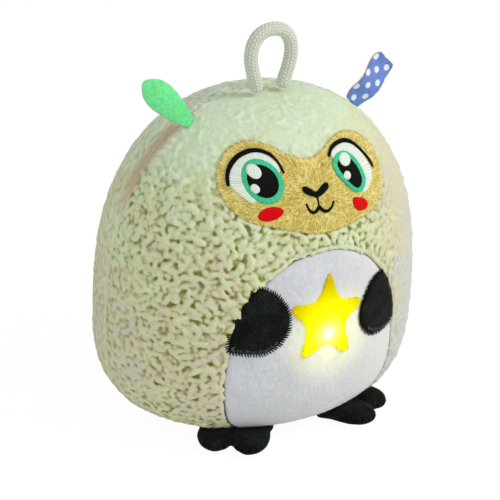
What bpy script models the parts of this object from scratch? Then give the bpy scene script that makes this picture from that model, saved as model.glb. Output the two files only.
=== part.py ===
"""Plush night light: a stuffed sheep whose belly star lights up when it is pressed.

Metres, +Z up, the face looks along -Y, the origin is at the middle of the base.
Left and right are the sheep's own sides, so its left is at +X.
"""
import math

import bmesh
import bpy
from mathutils import Matrix, Vector

for item in list(bpy.data.objects):
    bpy.data.objects.remove(item, do_unlink=True)

# General sizes
FIT_GAP = 0.0003
CUT_OVERRUN = 0.004
MERGE_DISTANCE = 0.000002

# Stuffed body
BODY_HEIGHT = 0.180
BODY_WIDTH = 0.182
BODY_DEPTH = 0.147
WIDEST_SHARE = 0.339
FLOOR_CUT = 0.0005
CROWN_POWER = 2.43
BASE_POWER = 3.2
BODY_AROUND = 36
CROWN_RINGS = 11
BASE_RINGS = 7

# Heights on the body, as shares of its height
BELLY_TOP_SHARE = 0.6444
BELLY_BOTTOM_SHARE = 0.0278
FACE_MIDDLE_SHARE = 0.8139
FACE_HALF_HEIGHT_SHARE = 0.1167
STAR_HEIGHT_SHARE = 0.4389
ARM_TOP_SHARE = 0.5389
ARM_BOTTOM_SHARE = 0.3361
RIGHT_EAR_ROOT_SHARE = 0.9450
LEFT_EAR_ROOT_SHARE = 0.9204
BOX_MIDDLE_SHARE = 0.3556
WIDEST_HEIGHT = WIDEST_SHARE * BODY_HEIGHT
BELLY_TOP = BELLY_TOP_SHARE * BODY_HEIGHT
BELLY_BOTTOM = BELLY_BOTTOM_SHARE * BODY_HEIGHT
FACE_MIDDLE = FACE_MIDDLE_SHARE * BODY_HEIGHT
FACE_HALF_HEIGHT = FACE_HALF_HEIGHT_SHARE * BODY_HEIGHT
STAR_HEIGHT = STAR_HEIGHT_SHARE * BODY_HEIGHT
ARM_TOP = ARM_TOP_SHARE * BODY_HEIGHT
ARM_BOTTOM = ARM_BOTTOM_SHARE * BODY_HEIGHT
RIGHT_EAR_ROOT_HEIGHT = RIGHT_EAR_ROOT_SHARE * BODY_HEIGHT
LEFT_EAR_ROOT_HEIGHT = LEFT_EAR_ROOT_SHARE * BODY_HEIGHT
BOX_MIDDLE_HEIGHT = BOX_MIDDLE_SHARE * BODY_HEIGHT

# Cloth of the body
FLEECE_THICKNESS = 0.0030
BELLY_SINK = 0.0005
SEAM_GAP = 0.0003
PATCH_THICKNESS = 0.0012
EMBROIDERY_THICKNESS = 0.0006
STITCH_GAP = 0.0003

# Belly panel, seen from the front
BELLY_HALF_WIDTH = 0.0525
BELLY_OUTLINE_SHARES = [
    (0.00, 1.000), (0.24, 0.985), (0.47, 0.938), (0.65, 0.868), (0.78, 0.785), (0.92, 0.645),
    (0.97, 0.510), (1.00, 0.370), (0.98, 0.260), (0.88, 0.120), (0.66, 0.020), (0.33, 0.000), (0.00, 0.000)]

# Face patch and what is stitched on it, seen from the front
FACE_HALF_WIDTH = 0.0485
FACE_SHIFT = -0.0018
FACE_TILT_DEGREES = 5.0
FACE_OUTLINE_SHARES = [
    (0.00, 0.74), (0.17, 0.84), (0.36, 0.98), (0.57, 1.00), (0.78, 0.80), (0.91, 0.56), (0.98, 0.27),
    (1.00, -0.02), (0.96, -0.32), (0.88, -0.55), (0.76, -0.73), (0.53, -0.90), (0.28, -0.98), (0.00, -1.00)]
RIGHT_EYE_SPREAD = 0.0265
LEFT_EYE_SPREAD = 0.0230
RIGHT_EYE_LIFT = 0.0034
LEFT_EYE_LIFT = 0.0042
IRIS_HALF_WIDTH = 0.0104
IRIS_HALF_HEIGHT = 0.0098
IRIS_RING = 0.0026
EYE_WHITE_HALF_WIDTH = 0.0130
EYE_WHITE_HALF_HEIGHT = 0.0112
EYE_WHITE_OUTWARD = 0.0030
EYE_WHITE_UPWARD = 0.0018
HIGHLIGHT_LARGE = 0.0033
HIGHLIGHT_SMALL = 0.0022
HIGHLIGHT_SIDE = 0.0034
HIGHLIGHT_LARGE_UP = 0.0040
HIGHLIGHT_SMALL_DOWN = 0.0036
LASH_WIDTH = 0.0018
LASH_START_DEGREES = 12.0
LASH_END_DEGREES = 184.0
RIGHT_CHEEK_SPREAD = 0.0252
LEFT_CHEEK_SPREAD = 0.0272
RIGHT_CHEEK_DROP = 0.0118
LEFT_CHEEK_DROP = 0.0104
CHEEK_HALF_WIDTH = 0.0066
CHEEK_HALF_HEIGHT = 0.0036
NOSE_HALF_WIDTH = 0.0072
NOSE_TOP_LIFT = 0.0014
NOSE_DEPTH = 0.0042
NOSE_STEM = 0.0046
NOSE_LINE_WIDTH = 0.0022
MOUTH_HALF_WIDTH = 0.0080
MOUTH_DIP = 0.0032
MOUTH_LINE_WIDTH = 0.0014
CIRCLE_STEPS = 20
GLINT_STEPS = 14

# Star patch
STAR_SHIFT = 0.0006
STAR_TIP_RADIUS = 0.0240
STAR_NOTCH_RADIUS = 0.0125
STAR_TILT_DEGREES = 3.0
STAR_POINTS = 5

# Arm patches, seen from the front as shares of the arm's own box
ARM_INNER = 0.0225
ARM_OUTER = 0.0520
ARM_STAGGER = 0.0030
ARM_OUTLINE_SHARES = [
    (0.50, 1.00), (0.31, 0.92), (0.12, 0.74), (0.01, 0.52), (0.03, 0.28), (0.16, 0.10), (0.38, 0.01),
    (0.66, 0.00), (1.00, 0.03), (1.06, 0.30), (0.92, 0.62), (0.74, 0.88)]

# Feet, lying on the floor in front of the body
FOOT_TURN_DEGREES = 38.0
FOOT_LENGTH = 0.0328
FOOT_HALF_WIDTH = 0.0195
FOOT_THICKNESS = 0.0100
FOOT_AXIS_HEIGHT = 0.0027
FOOT_AXIS_CLEARANCE = 0.0012
FOOT_FLOOR_GAP = 0.0003
PAD_EDGE_SHARES = [(0.12, 0.52), (0.22, 0.28), (0.32, 0.20)]
FOOT_OUTLINE_SHARES = [
    (0.00, 0.86), (0.30, 0.97), (0.62, 1.00), (0.86, 0.86), (0.98, 0.60), (0.99, 0.36), (0.90, 0.14),
    (0.84, 0.00), (0.90, -0.14), (0.99, -0.36), (0.98, -0.60), (0.86, -0.86), (0.62, -1.00),
    (0.30, -0.97), (0.00, -0.86)]

# Ear ribbons, sewn in at the shoulders of the head, a little in front of the side seam
EAR_FORWARD = 0.0060
EAR_TILT_DEGREES = 46.5
EAR_WIDTH = 0.0150
RIGHT_EAR_LENGTH = 0.0390
LEFT_EAR_LENGTH = 0.0312
RIBBON_THICKNESS = 0.0006
RIBBON_GAP = 0.0003
EAR_SEAT = 0.0004
EAR_AXIS_LIFT = 0.0013
PETAL_SHARES = [
    (0.00, 0.34), (0.12, 0.54), (0.30, 0.77), (0.50, 0.94), (0.68, 1.00), (0.84, 0.84), (0.95, 0.46)]
STRIP_SHARES = [
    (0.00, 0.60), (0.10, 0.80), (0.30, 0.97), (0.55, 1.00), (0.80, 0.98), (0.94, 0.90), (1.00, 0.55),
    (0.93, 0.20)]

# Hanging loop of braided rope
ROPE_DIAMETER = 0.0074
LOOP_FORWARD = 0.0070
LOOP_HEIGHT = 0.0367
LOOP_HALF_WIDTH = 0.0122
LOOP_LEG_SPREAD = 0.0080
LOOP_AXIS_LIFT = 0.0029
LOOP_SHAPE_SHARES = [(0.71, 0.15), (0.88, 0.34), (1.00, 0.58), (0.90, 0.80), (0.55, 0.95)]
ROPE_STEPS = 3
ROPE_BEVEL_STEPS = 2

# Light unit behind the star
LIGHT_RADIUS = 0.0200
LIGHT_DEPTH = 0.0145
LIGHT_WALL = 0.0015
LIGHT_CLEARANCE = 0.0006
LIGHT_STEPS = 24
COVER_RISE = 0.0016
COVER_THICKNESS = 0.0012
COVER_LIP = 0.0028
LEDGE_WIDTH = 0.0024
LEDGE_HEIGHT = 0.0011
BOARD_THICKNESS = 0.0016
BUTTON_RADIUS = 0.0065
BUTTON_TRAVEL = 0.0015
BUTTON_CLEARANCE = 0.0004
BUTTON_FLANGE = 0.0010
BUTTON_FLANGE_THICKNESS = 0.0008
STEM_RADIUS = 0.0020
SWITCH_SIZE = 0.0070
SWITCH_HEIGHT = 0.0036
PLUNGER_RADIUS = 0.0014
PLUNGER_RISE = 0.0019
PLUNGER_DEPTH = 0.0012
DIODE_RADIUS = 0.0025
DIODE_HEIGHT = 0.0046
DIODE_COUNT = 3
DIODE_RING = 0.0110
SCREW_RING = 0.0140
SCREW_RADIUS = 0.0009
SCREW_HEAD_RADIUS = 0.0019
SCREW_HEAD_HEIGHT = 0.0010
SCREW_POST_RADIUS = 0.0023
SCREW_STEPS = 12

# Battery box, pouch and closing flap in the back
CELL_LENGTH = 0.0445
CELL_RADIUS = 0.00525
CELL_TIP_RADIUS = 0.0019
CELL_TIP_HEIGHT = 0.0008
CELL_COUNT = 3
CELL_PITCH = 0.0109
CELL_STEPS = 16
CELL_CLEARANCE = 0.0004
SPRING_SPACE = 0.0040
SPRING_TURNS = 3
SPRING_TURN_STEPS = 8
SPRING_WIRE = 0.0006
SPRING_RADIUS = 0.0026
CONTACT_THICKNESS = 0.0004
CONTACT_SIZE = 0.0080
TRAY_WALL = 0.0014
TRAY_BOSS = 0.0060
LID_THICKNESS = 0.0015
BOX_EDGE = 0.0010
BOX_CLEARANCE = 0.0006
POUCH_THICKNESS = 0.0008
FLAP_HALF_WIDTH = 0.0215
FLAP_HEAD = 0.0040
CLOSURE_HEIGHT = 0.0095
FLAP_CORNER = 0.0060
TAPE_THICKNESS = 0.0009
TAPE_HALF_WIDTH = 0.0150
TAPE_MARGIN = 0.0015
LEAD_RADIUS = 0.0013
LEAD_SAG = 0.0040
LEAD_CHANNEL_CLEARANCE = 0.0006

parts = bpy.data.collections.new("plush_night_light")
cutters = bpy.data.collections.new("cutters")
bpy.context.scene.collection.children.link(parts)
bpy.context.scene.collection.children.link(cutters)


def make_material(name, colour, roughness, metallic=0.0, glow=0.0):
    made = bpy.data.materials.new(name)
    made.use_nodes = True
    shader = made.node_tree.nodes["Principled BSDF"]
    shader.inputs["Base Color"].default_value = (*colour, 1.0)
    shader.inputs["Roughness"].default_value = roughness
    shader.inputs["Metallic"].default_value = metallic
    if glow:
        shader.inputs["Emission Color"].default_value = (*colour, 1.0)
        shader.inputs["Emission Strength"].default_value = glow
    return made


FLEECE = make_material("cream_fleece", (0.56, 0.60, 0.42), 0.95)
WHITE_PLUSH = make_material("white_plush", (0.70, 0.72, 0.75), 0.92)
TAN_PLUSH = make_material("tan_plush", (0.63, 0.49, 0.12), 0.92)
BLACK_PLUSH = make_material("black_plush", (0.012, 0.014, 0.012), 0.85)
BLACK_THREAD = make_material("black_thread", (0.010, 0.010, 0.010), 0.45)
WHITE_THREAD = make_material("white_thread", (0.76, 0.80, 0.74), 0.50)
GREEN_THREAD = make_material("green_thread", (0.03, 0.42, 0.24), 0.45)
RED_THREAD = make_material("red_thread", (0.52, 0.010, 0.012), 0.50)
STAR_CLOTH = make_material("star_cloth", (0.90, 0.85, 0.02), 0.75, glow=1.0)
GREEN_RIBBON = make_material("green_ribbon", (0.16, 0.76, 0.26), 0.45)
BLUE_RIBBON = make_material("blue_ribbon", (0.15, 0.24, 0.62), 0.45)
PINK_RIBBON = make_material("pink_ribbon", (0.62, 0.38, 0.42), 0.50)
ROPE = make_material("cream_rope", (0.62, 0.67, 0.55), 0.85)
FILLING = make_material("polyester_filling", (0.86, 0.86, 0.84), 0.95)
WHITE_PLASTIC = make_material("white_plastic", (0.80, 0.80, 0.78), 0.40)
CLEAR_PLASTIC = make_material("clear_plastic", (0.92, 0.92, 0.88), 0.15)
BLACK_PLASTIC = make_material("black_plastic", (0.02, 0.02, 0.02), 0.45)
BOARD_GREEN = make_material("board_green", (0.02, 0.22, 0.08), 0.50)
STEEL = make_material("plated_steel", (0.62, 0.62, 0.63), 0.30, metallic=1.0)
CELL_WRAP = make_material("cell_wrap", (0.10, 0.11, 0.13), 0.40)
POUCH_CLOTH = make_material("pouch_cloth", (0.72, 0.72, 0.68), 0.90)
TAPE_CLOTH = make_material("tape_cloth", (0.78, 0.78, 0.74), 0.95)


def body_share(height):
    """Half width of the body at a height, as a share of its widest half width."""
    if height >= WIDEST_HEIGHT:
        rise = min((height - WIDEST_HEIGHT) / (BODY_HEIGHT - WIDEST_HEIGHT), 1.0)
        return (1.0 - rise ** CROWN_POWER) ** (1.0 / CROWN_POWER)
    drop = min((WIDEST_HEIGHT - height) / (WIDEST_HEIGHT + FLOOR_CUT), 1.0)
    return (1.0 - drop ** BASE_POWER) ** (1.0 / BASE_POWER)


def body_depth_at(across, height):
    """Distance from the middle plane to the front of the body."""
    side = abs(across) / (0.5 * BODY_WIDTH)
    return 0.5 * BODY_DEPTH * math.sqrt(max(body_share(height) ** 2 - side ** 2, 0.0))


def side_point(height, forward):
    """Point on the +X side, this far in front of the side seam, and its normal seen from the front."""
    def half_width(level):
        return 0.5 * BODY_WIDTH * math.sqrt(max(
            body_share(level) ** 2 - (forward / (0.5 * BODY_DEPTH)) ** 2, 0.0))
    step = 0.001 * BODY_HEIGHT
    rise = half_width(height + step) - half_width(height - step)
    point = Vector((half_width(height), -forward, height))
    normal = Vector((2.0 * step, 0.0, -rise)).normalized()
    return point, normal


def crown_height(across, forward):
    """Height of the crown this far from the middle and this far in front of the side seam."""
    side = math.hypot(across / (0.5 * BODY_WIDTH), forward / (0.5 * BODY_DEPTH))
    rise = (1.0 - side ** CROWN_POWER) ** (1.0 / CROWN_POWER)
    return WIDEST_HEIGHT + (BODY_HEIGHT - WIDEST_HEIGHT) * rise


def body_profile():
    """Half outline of the body from the crown to the middle of the base."""
    points = []
    for step in range(CROWN_RINGS):
        angle = 0.5 * math.pi * (1.0 - step / CROWN_RINGS)
        radius = math.cos(angle) ** (2.0 / CROWN_POWER) if step else 0.0
        rise = math.sin(angle) ** (2.0 / CROWN_POWER)
        points.append((radius, WIDEST_HEIGHT + (BODY_HEIGHT - WIDEST_HEIGHT) * rise))
    last = math.asin((WIDEST_HEIGHT / (WIDEST_HEIGHT + FLOOR_CUT)) ** (0.5 * BASE_POWER))
    for step in range(BASE_RINGS + 1):
        angle = last * step / BASE_RINGS
        drop = math.sin(angle) ** (2.0 / BASE_POWER)
        radius = math.cos(angle) ** (2.0 / BASE_POWER)
        points.append((radius, WIDEST_HEIGHT - (WIDEST_HEIGHT + FLOOR_CUT) * drop))
    points[-1] = (points[-1][0], 0.0)
    points.append((0.0, 0.0))
    return [(0.5 * BODY_WIDTH * share, height) for share, height in points]


def link(name, mesh, finish, holder=None, group=parts):
    made = bpy.data.objects.new(name, mesh)
    group.objects.link(made)
    mesh.materials.clear()
    if finish:
        mesh.materials.append(finish)
    if holder:
        made.parent = holder
        made.location = -holder.location
    return made


def link_cutter(name, mesh):
    made = link(name, mesh, None, group=cutters)
    made.hide_render = True
    made.display_type = "WIRE"
    return made


def evaluated_mesh(source):
    """Copy of an object's mesh with its modifiers, in world space, and the object removed."""
    bpy.context.view_layer.update()
    graph = bpy.context.evaluated_depsgraph_get()
    mesh = bpy.data.meshes.new_from_object(source.evaluated_get(graph))
    mesh.transform(source.matrix_world)
    bpy.data.objects.remove(source, do_unlink=True)
    work = bmesh.new()
    work.from_mesh(mesh)
    bmesh.ops.remove_doubles(work, verts=work.verts, dist=MERGE_DISTANCE)
    work.to_mesh(mesh)
    work.free()
    return mesh


def round_upright_edges(target, width):
    """Rounds the edges of a box that run from front to back."""
    work = bmesh.new()
    work.from_mesh(target.data)
    edges = [edge for edge in work.edges if abs(edge.verts[0].co.y - edge.verts[1].co.y) > width]
    bmesh.ops.bevel(work, geom=edges, offset=width, segments=2, profile=0.5, affect="EDGES")
    work.to_mesh(target.data)
    work.free()


def boolean(target, cutter, operation):
    step = target.modifiers.new(operation.lower(), "BOOLEAN")
    step.operation = operation
    step.object = cutter
    step.solver = "EXACT"
    return step


def turned_mesh(profile, steps, place=None, closed=False):
    """Solid of revolution about Z from (radius, height) points that run top to bottom on the outside."""
    mesh = bpy.data.meshes.new("profile")
    count = len(profile)
    edges = [(index, index + 1) for index in range(count - 1)]
    if closed:
        edges.append((count - 1, 0))
    mesh.from_pydata([(radius, 0.0, height) for radius, height in profile], edges, [])
    lathe = bpy.data.objects.new("profile", mesh)
    bpy.context.scene.collection.objects.link(lathe)
    screw = lathe.modifiers.new("turn", "SCREW")
    screw.steps = steps
    screw.render_steps = steps
    screw.use_merge_vertices = True
    screw.merge_threshold = MERGE_DISTANCE
    made = evaluated_mesh(lathe)
    if place:
        made.transform(place)
    return made


def tube_mesh(points, radius, bevel_resolution):
    curve = bpy.data.curves.new("run", "CURVE")
    curve.dimensions = "3D"
    curve.bevel_depth = radius
    curve.bevel_resolution = bevel_resolution
    curve.use_fill_caps = True
    spline = curve.splines.new("POLY")
    spline.points.add(len(points) - 1)
    for slot, point in zip(spline.points, points):
        slot.co = (*point, 1.0)
    holder = bpy.data.objects.new("run", curve)
    bpy.context.scene.collection.objects.link(holder)
    return evaluated_mesh(holder)


def flat_mesh(outline, thickness):
    """Flat plate on the outline, in the plane of local X and Y, centred in its thickness."""
    curve = bpy.data.curves.new("outline", "CURVE")
    curve.dimensions = "2D"
    curve.fill_mode = "BOTH"
    curve.extrude = 0.5 * thickness
    spline = curve.splines.new("POLY")
    spline.points.add(len(outline) - 1)
    for slot, point in zip(spline.points, outline):
        slot.co = (point[0], point[1], 0.0, 1.0)
    spline.use_cyclic_u = True
    holder = bpy.data.objects.new("outline", curve)
    bpy.context.scene.collection.objects.link(holder)
    return evaluated_mesh(holder)


def box_mesh(low, high):
    work = bmesh.new()
    size = Vector(high) - Vector(low)
    middle = (Vector(high) + Vector(low)) * 0.5
    bmesh.ops.create_cube(work, size=1.0, matrix=Matrix.Translation(middle) @ Matrix.Diagonal((*size, 1.0)))
    mesh = bpy.data.meshes.new("box")
    work.to_mesh(mesh)
    work.free()
    return mesh


def merge_meshes(name, meshes):
    """One mesh that holds several separate bodies."""
    work = bmesh.new()
    for mesh in meshes:
        work.from_mesh(mesh)
    made = bpy.data.meshes.new(name)
    work.to_mesh(made)
    work.free()
    return made


def smooth_line(points, steps, closed):
    """Catmull-Rom curve through the points."""
    count = len(points)
    spans = count if closed else count - 1
    line = []
    for span in range(spans):
        places = [(span + shift) % count if closed else min(max(span + shift, 0), count - 1)
                  for shift in (-1, 0, 1, 2)]
        near = [points[place] for place in places]
        for step in range(steps):
            t = step / steps
            weights = (-0.5 * t + t * t - 0.5 * t ** 3, 1.0 - 2.5 * t * t + 1.5 * t ** 3,
                       0.5 * t + 2.0 * t * t - 1.5 * t ** 3, -0.5 * t * t + 0.5 * t ** 3)
            line.append(tuple(sum(w * p[axis] for w, p in zip(weights, near))
                              for axis in range(len(points[0]))))
    if not closed:
        line.append(tuple(points[-1]))
    return line


def mirrored(half):
    """Whole outline from a right half that starts and ends on the middle line."""
    return half + [(-across, height) for across, height in reversed(half[1:-1])]


def grown(outline, margin):
    """The outline moved outward by a margin, or inward where it is negative."""
    count = len(outline)
    area = sum(outline[i][0] * outline[(i + 1) % count][1] - outline[(i + 1) % count][0] * outline[i][1]
               for i in range(count))
    turn = math.copysign(1.0, area)
    moved = []
    for index, point in enumerate(outline):
        before, after = outline[index - 1], outline[(index + 1) % count]
        first = Vector((point[1] - before[1], before[0] - point[0])).normalized()
        second = Vector((after[1] - point[1], point[0] - after[0])).normalized()
        blend = first + second
        blend /= max(0.5 * blend.length_squared, 0.5)
        moved.append((point[0] + turn * margin * blend.x, point[1] + turn * margin * blend.y))
    return moved


def ellipse(centre, half_width, half_height, steps=CIRCLE_STEPS):
    angles = [2.0 * math.pi * step / steps for step in range(steps)]
    return [(centre[0] + half_width * math.cos(a), centre[1] + half_height * math.sin(a)) for a in angles]


def stroke(line, width, tip_share):
    """Outline of a line of stitches that narrows to a share of its width at both ends."""
    left, right = [], []
    count = len(line)
    for index, point in enumerate(line):
        before, after = line[max(index - 1, 0)], line[min(index + 1, count - 1)]
        side = Vector((before[1] - after[1], after[0] - before[0])).normalized()
        place = index / (count - 1)
        swell = tip_share + (1.0 - tip_share) * math.sin(math.pi * place) ** 0.5
        reach = 0.5 * width * swell
        left.append((point[0] + reach * side.x, point[1] + reach * side.y))
        right.append((point[0] - reach * side.x, point[1] - reach * side.y))
    return left + right[::-1]


def turned_outline(outline, centre, degrees):
    """The outline turned clockwise in the front view about a centre."""
    c, s = math.cos(math.radians(degrees)), math.sin(math.radians(degrees))
    return [(centre[0] + c * (x - centre[0]) + s * (z - centre[1]),
             centre[1] - s * (x - centre[0]) + c * (z - centre[1])) for x, z in outline]


# The body's skin: a turned profile, narrower from front to back
SKIN = turned_mesh(body_profile(), BODY_AROUND)
SKIN.transform(Matrix.Diagonal((1.0, BODY_DEPTH / BODY_WIDTH, 1.0, 1.0)))


def lifted_skin(lift):
    """The skin moved along its normals, outward where the lift is positive."""
    work = bmesh.new()
    work.from_mesh(SKIN)
    work.normal_update()
    moves = [(vert, vert.normal * (vert.calc_shell_factor() * lift)) for vert in work.verts]
    for vert, move in moves:
        vert.co += move
    mesh = bpy.data.meshes.new("skin")
    work.to_mesh(mesh)
    work.free()
    return mesh


def prism(name, outline, front=True):
    """Cutter that runs from the middle plane out past the front or back of the body."""
    reach = 0.5 * BODY_DEPTH + CUT_OVERRUN
    mesh = flat_mesh(outline, reach)
    middle = Matrix.Translation((0.0, (-0.5 if front else 0.5) * reach, 0.0))
    mesh.transform(middle @ Matrix.Rotation(0.5 * math.pi, 4, "X"))
    return link_cutter(name, mesh)


def layer(name, low, high, inside, outside, finish, holder=None):
    """Cloth that follows the body between two lifts, inside some outlines and outside others."""
    made = link(name, lifted_skin(high), finish, holder)
    shell = made.modifiers.new("cloth", "SOLIDIFY")
    shell.thickness = high - low
    shell.offset = -1.0
    shell.use_even_offset = True
    for cutter in inside:
        boolean(made, cutter, "INTERSECT")
    for cutter in outside:
        boolean(made, cutter, "DIFFERENCE")
    return made


def on_face(outline):
    """An outline drawn on an upright face, moved and tilted as the face is sewn on."""
    moved = [(across + FACE_SHIFT, height) for across, height in outline]
    return turned_outline(moved, face_centre, FACE_TILT_DEGREES)


# Outlines of the panels and patches
belly_half = [(share[0] * BELLY_HALF_WIDTH, BELLY_BOTTOM + share[1] * (BELLY_TOP - BELLY_BOTTOM))
              for share in BELLY_OUTLINE_SHARES]
belly_outline = smooth_line(mirrored(belly_half), 2, True)
face_centre = (FACE_SHIFT, FACE_MIDDLE)
face_half = [(share[0] * FACE_HALF_WIDTH, FACE_MIDDLE + share[1] * FACE_HALF_HEIGHT)
             for share in FACE_OUTLINE_SHARES]
face_outline = on_face(smooth_line(mirrored(face_half), 2, True))

# Joint places that the solids share
loop_root_height = crown_height(LOOP_LEG_SPREAD, LOOP_FORWARD)
loop_axis = Vector((0.0, -LOOP_FORWARD, loop_root_height + LOOP_AXIS_LIFT))
rope_radius = 0.5 * ROPE_DIAMETER

# Sockets in the crown for the rounded ends of the rope
work = bmesh.new()
for side in (-1.0, 1.0):
    socket = Matrix.Translation((side * LOOP_LEG_SPREAD, loop_axis.y, loop_axis.z))
    bmesh.ops.create_uvsphere(
        work, u_segments=16, v_segments=10, radius=rope_radius + FIT_GAP, matrix=socket)
socket_mesh = bpy.data.meshes.new("rope_sockets")
work.to_mesh(socket_mesh)
work.free()
rope_sockets = link_cutter("rope_sockets", socket_mesh)

# Body panels: the cloth is cut at the side seam, with the belly opening in the front
reach = Vector((BODY_WIDTH, BODY_DEPTH, BODY_HEIGHT))
front_half = link_cutter("front_half", box_mesh(
    (-reach.x, -reach.y, -reach.z), (reach.x, -0.5 * SEAM_GAP, 2.0 * reach.z)))
back_half = link_cutter("back_half", box_mesh(
    (-reach.x, 0.5 * SEAM_GAP, -reach.z), (reach.x, reach.y, 2.0 * reach.z)))
belly_cut = prism("belly_cut", grown(belly_outline, SEAM_GAP))
belly_edge = prism("belly_edge", belly_outline)
fleece_front = layer("fleece_front", -FLEECE_THICKNESS, 0.0, [front_half], [belly_cut, rope_sockets], FLEECE)
belly_panel = layer("belly_panel", -FLEECE_THICKNESS, -BELLY_SINK, [belly_edge], [], WHITE_PLUSH)

# Face patch
face_low = FIT_GAP
face_high = face_low + PATCH_THICKNESS
face_edge = prism("face_edge", face_outline)
layer("face_patch", face_low, face_high, [face_edge], [], TAN_PLUSH)

# Stitched eyes, cheeks, nose and mouth
stitch_low = face_high + FIT_GAP
stitch_high = stitch_low + EMBROIDERY_THICKNESS


for side, side_name, eye_spread, eye_lift, cheek_spread, cheek_drop in (
        (-1.0, "right", RIGHT_EYE_SPREAD, RIGHT_EYE_LIFT, RIGHT_CHEEK_SPREAD, RIGHT_CHEEK_DROP),
        (1.0, "left", LEFT_EYE_SPREAD, LEFT_EYE_LIFT, LEFT_CHEEK_SPREAD, LEFT_CHEEK_DROP)):
    eye = (side * eye_spread, FACE_MIDDLE + eye_lift)
    iris = ellipse(eye, IRIS_HALF_WIDTH, IRIS_HALF_HEIGHT)
    pupil = grown(iris, -IRIS_RING)
    white_centre = (eye[0] + side * EYE_WHITE_OUTWARD, eye[1] + EYE_WHITE_UPWARD)
    white = ellipse(white_centre, EYE_WHITE_HALF_WIDTH, EYE_WHITE_HALF_HEIGHT)
    glint_side = eye[0] - HIGHLIGHT_SIDE
    upper = ellipse((glint_side, eye[1] + HIGHLIGHT_LARGE_UP), HIGHLIGHT_LARGE, HIGHLIGHT_LARGE, GLINT_STEPS)
    lower = ellipse(
        (glint_side, eye[1] - HIGHLIGHT_SMALL_DOWN), HIGHLIGHT_SMALL, HIGHLIGHT_SMALL, GLINT_STEPS)
    iris_edge = prism("iris_edge_" + side_name, on_face(iris))
    iris_cut = prism("iris_cut_" + side_name, on_face(grown(iris, STITCH_GAP)))
    pupil_edge = prism("pupil_edge_" + side_name, on_face(grown(pupil, -STITCH_GAP)))
    pupil_cut = prism("pupil_cut_" + side_name, on_face(pupil))
    white_edge = prism("white_edge_" + side_name, on_face(white))
    glint_cuts = []
    for place_name, glint in (("upper", upper), ("lower", lower)):
        glint_edge = prism(f"glint_edge_{place_name}_{side_name}", on_face(glint))
        glint_cuts.append(prism(f"glint_cut_{place_name}_{side_name}", on_face(grown(glint, STITCH_GAP))))
        layer(f"highlight_{place_name}_{side_name}", stitch_low, stitch_high, [glint_edge], [], WHITE_THREAD)
    layer("eye_white_" + side_name, stitch_low, stitch_high, [white_edge], [iris_cut], WHITE_THREAD)
    layer("iris_" + side_name, stitch_low, stitch_high, [iris_edge], [pupil_cut] + glint_cuts, GREEN_THREAD)
    layer("pupil_" + side_name, stitch_low, stitch_high, [pupil_edge], glint_cuts, BLACK_THREAD)
    lash_line = []
    lash_reach = 0.5 * LASH_WIDTH + STITCH_GAP
    for step in range(CIRCLE_STEPS // 2 + 3):
        share = step / (CIRCLE_STEPS // 2 + 2)
        angle = math.radians(LASH_START_DEGREES + share * (LASH_END_DEGREES - LASH_START_DEGREES))
        angle = angle if side < 0.0 else math.pi - angle
        lash_line.append((white_centre[0] + (EYE_WHITE_HALF_WIDTH + lash_reach) * math.cos(angle),
                          white_centre[1] + (EYE_WHITE_HALF_HEIGHT + lash_reach) * math.sin(angle)))
    lash_edge = prism("lash_edge_" + side_name, on_face(stroke(lash_line, LASH_WIDTH, 0.5)))
    layer("lash_" + side_name, stitch_low, stitch_high, [lash_edge], [], BLACK_THREAD)
    cheek = ellipse((side * cheek_spread, FACE_MIDDLE - cheek_drop), CHEEK_HALF_WIDTH, CHEEK_HALF_HEIGHT, 16)
    cheek_edge = prism("cheek_edge_" + side_name, on_face(cheek))
    layer("cheek_" + side_name, stitch_low, stitch_high, [cheek_edge], [], RED_THREAD)

nose_top = FACE_MIDDLE + NOSE_TOP_LIFT
half_line = 0.5 * NOSE_LINE_WIDTH
nose_low = nose_top - NOSE_DEPTH
nose_half = [(0.0, nose_low + NOSE_LINE_WIDTH), (NOSE_HALF_WIDTH, nose_top),
             (NOSE_HALF_WIDTH - half_line, nose_top - NOSE_LINE_WIDTH), (half_line, nose_low - half_line),
             (half_line, nose_low - NOSE_STEM), (0.0, nose_low - NOSE_STEM)]
nose_edge = prism("nose_edge", on_face(mirrored(nose_half)))
layer("nose", stitch_low, stitch_high, [nose_edge], [], BLACK_THREAD)
mouth_top = nose_low - NOSE_STEM - STITCH_GAP - MOUTH_LINE_WIDTH
mouth_low = mouth_top - MOUTH_DIP
mouth_points = [
    (-MOUTH_HALF_WIDTH, mouth_top), (-0.5 * MOUTH_HALF_WIDTH, mouth_low), (0.0, mouth_top),
    (0.5 * MOUTH_HALF_WIDTH, mouth_low), (MOUTH_HALF_WIDTH, mouth_top)]
mouth_line = smooth_line(mouth_points, 4, False)
mouth_edge = prism("mouth_edge", on_face(stroke(mouth_line, MOUTH_LINE_WIDTH, 0.7)))
layer("mouth", stitch_low, stitch_high, [mouth_edge], [], BLACK_THREAD)

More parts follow.
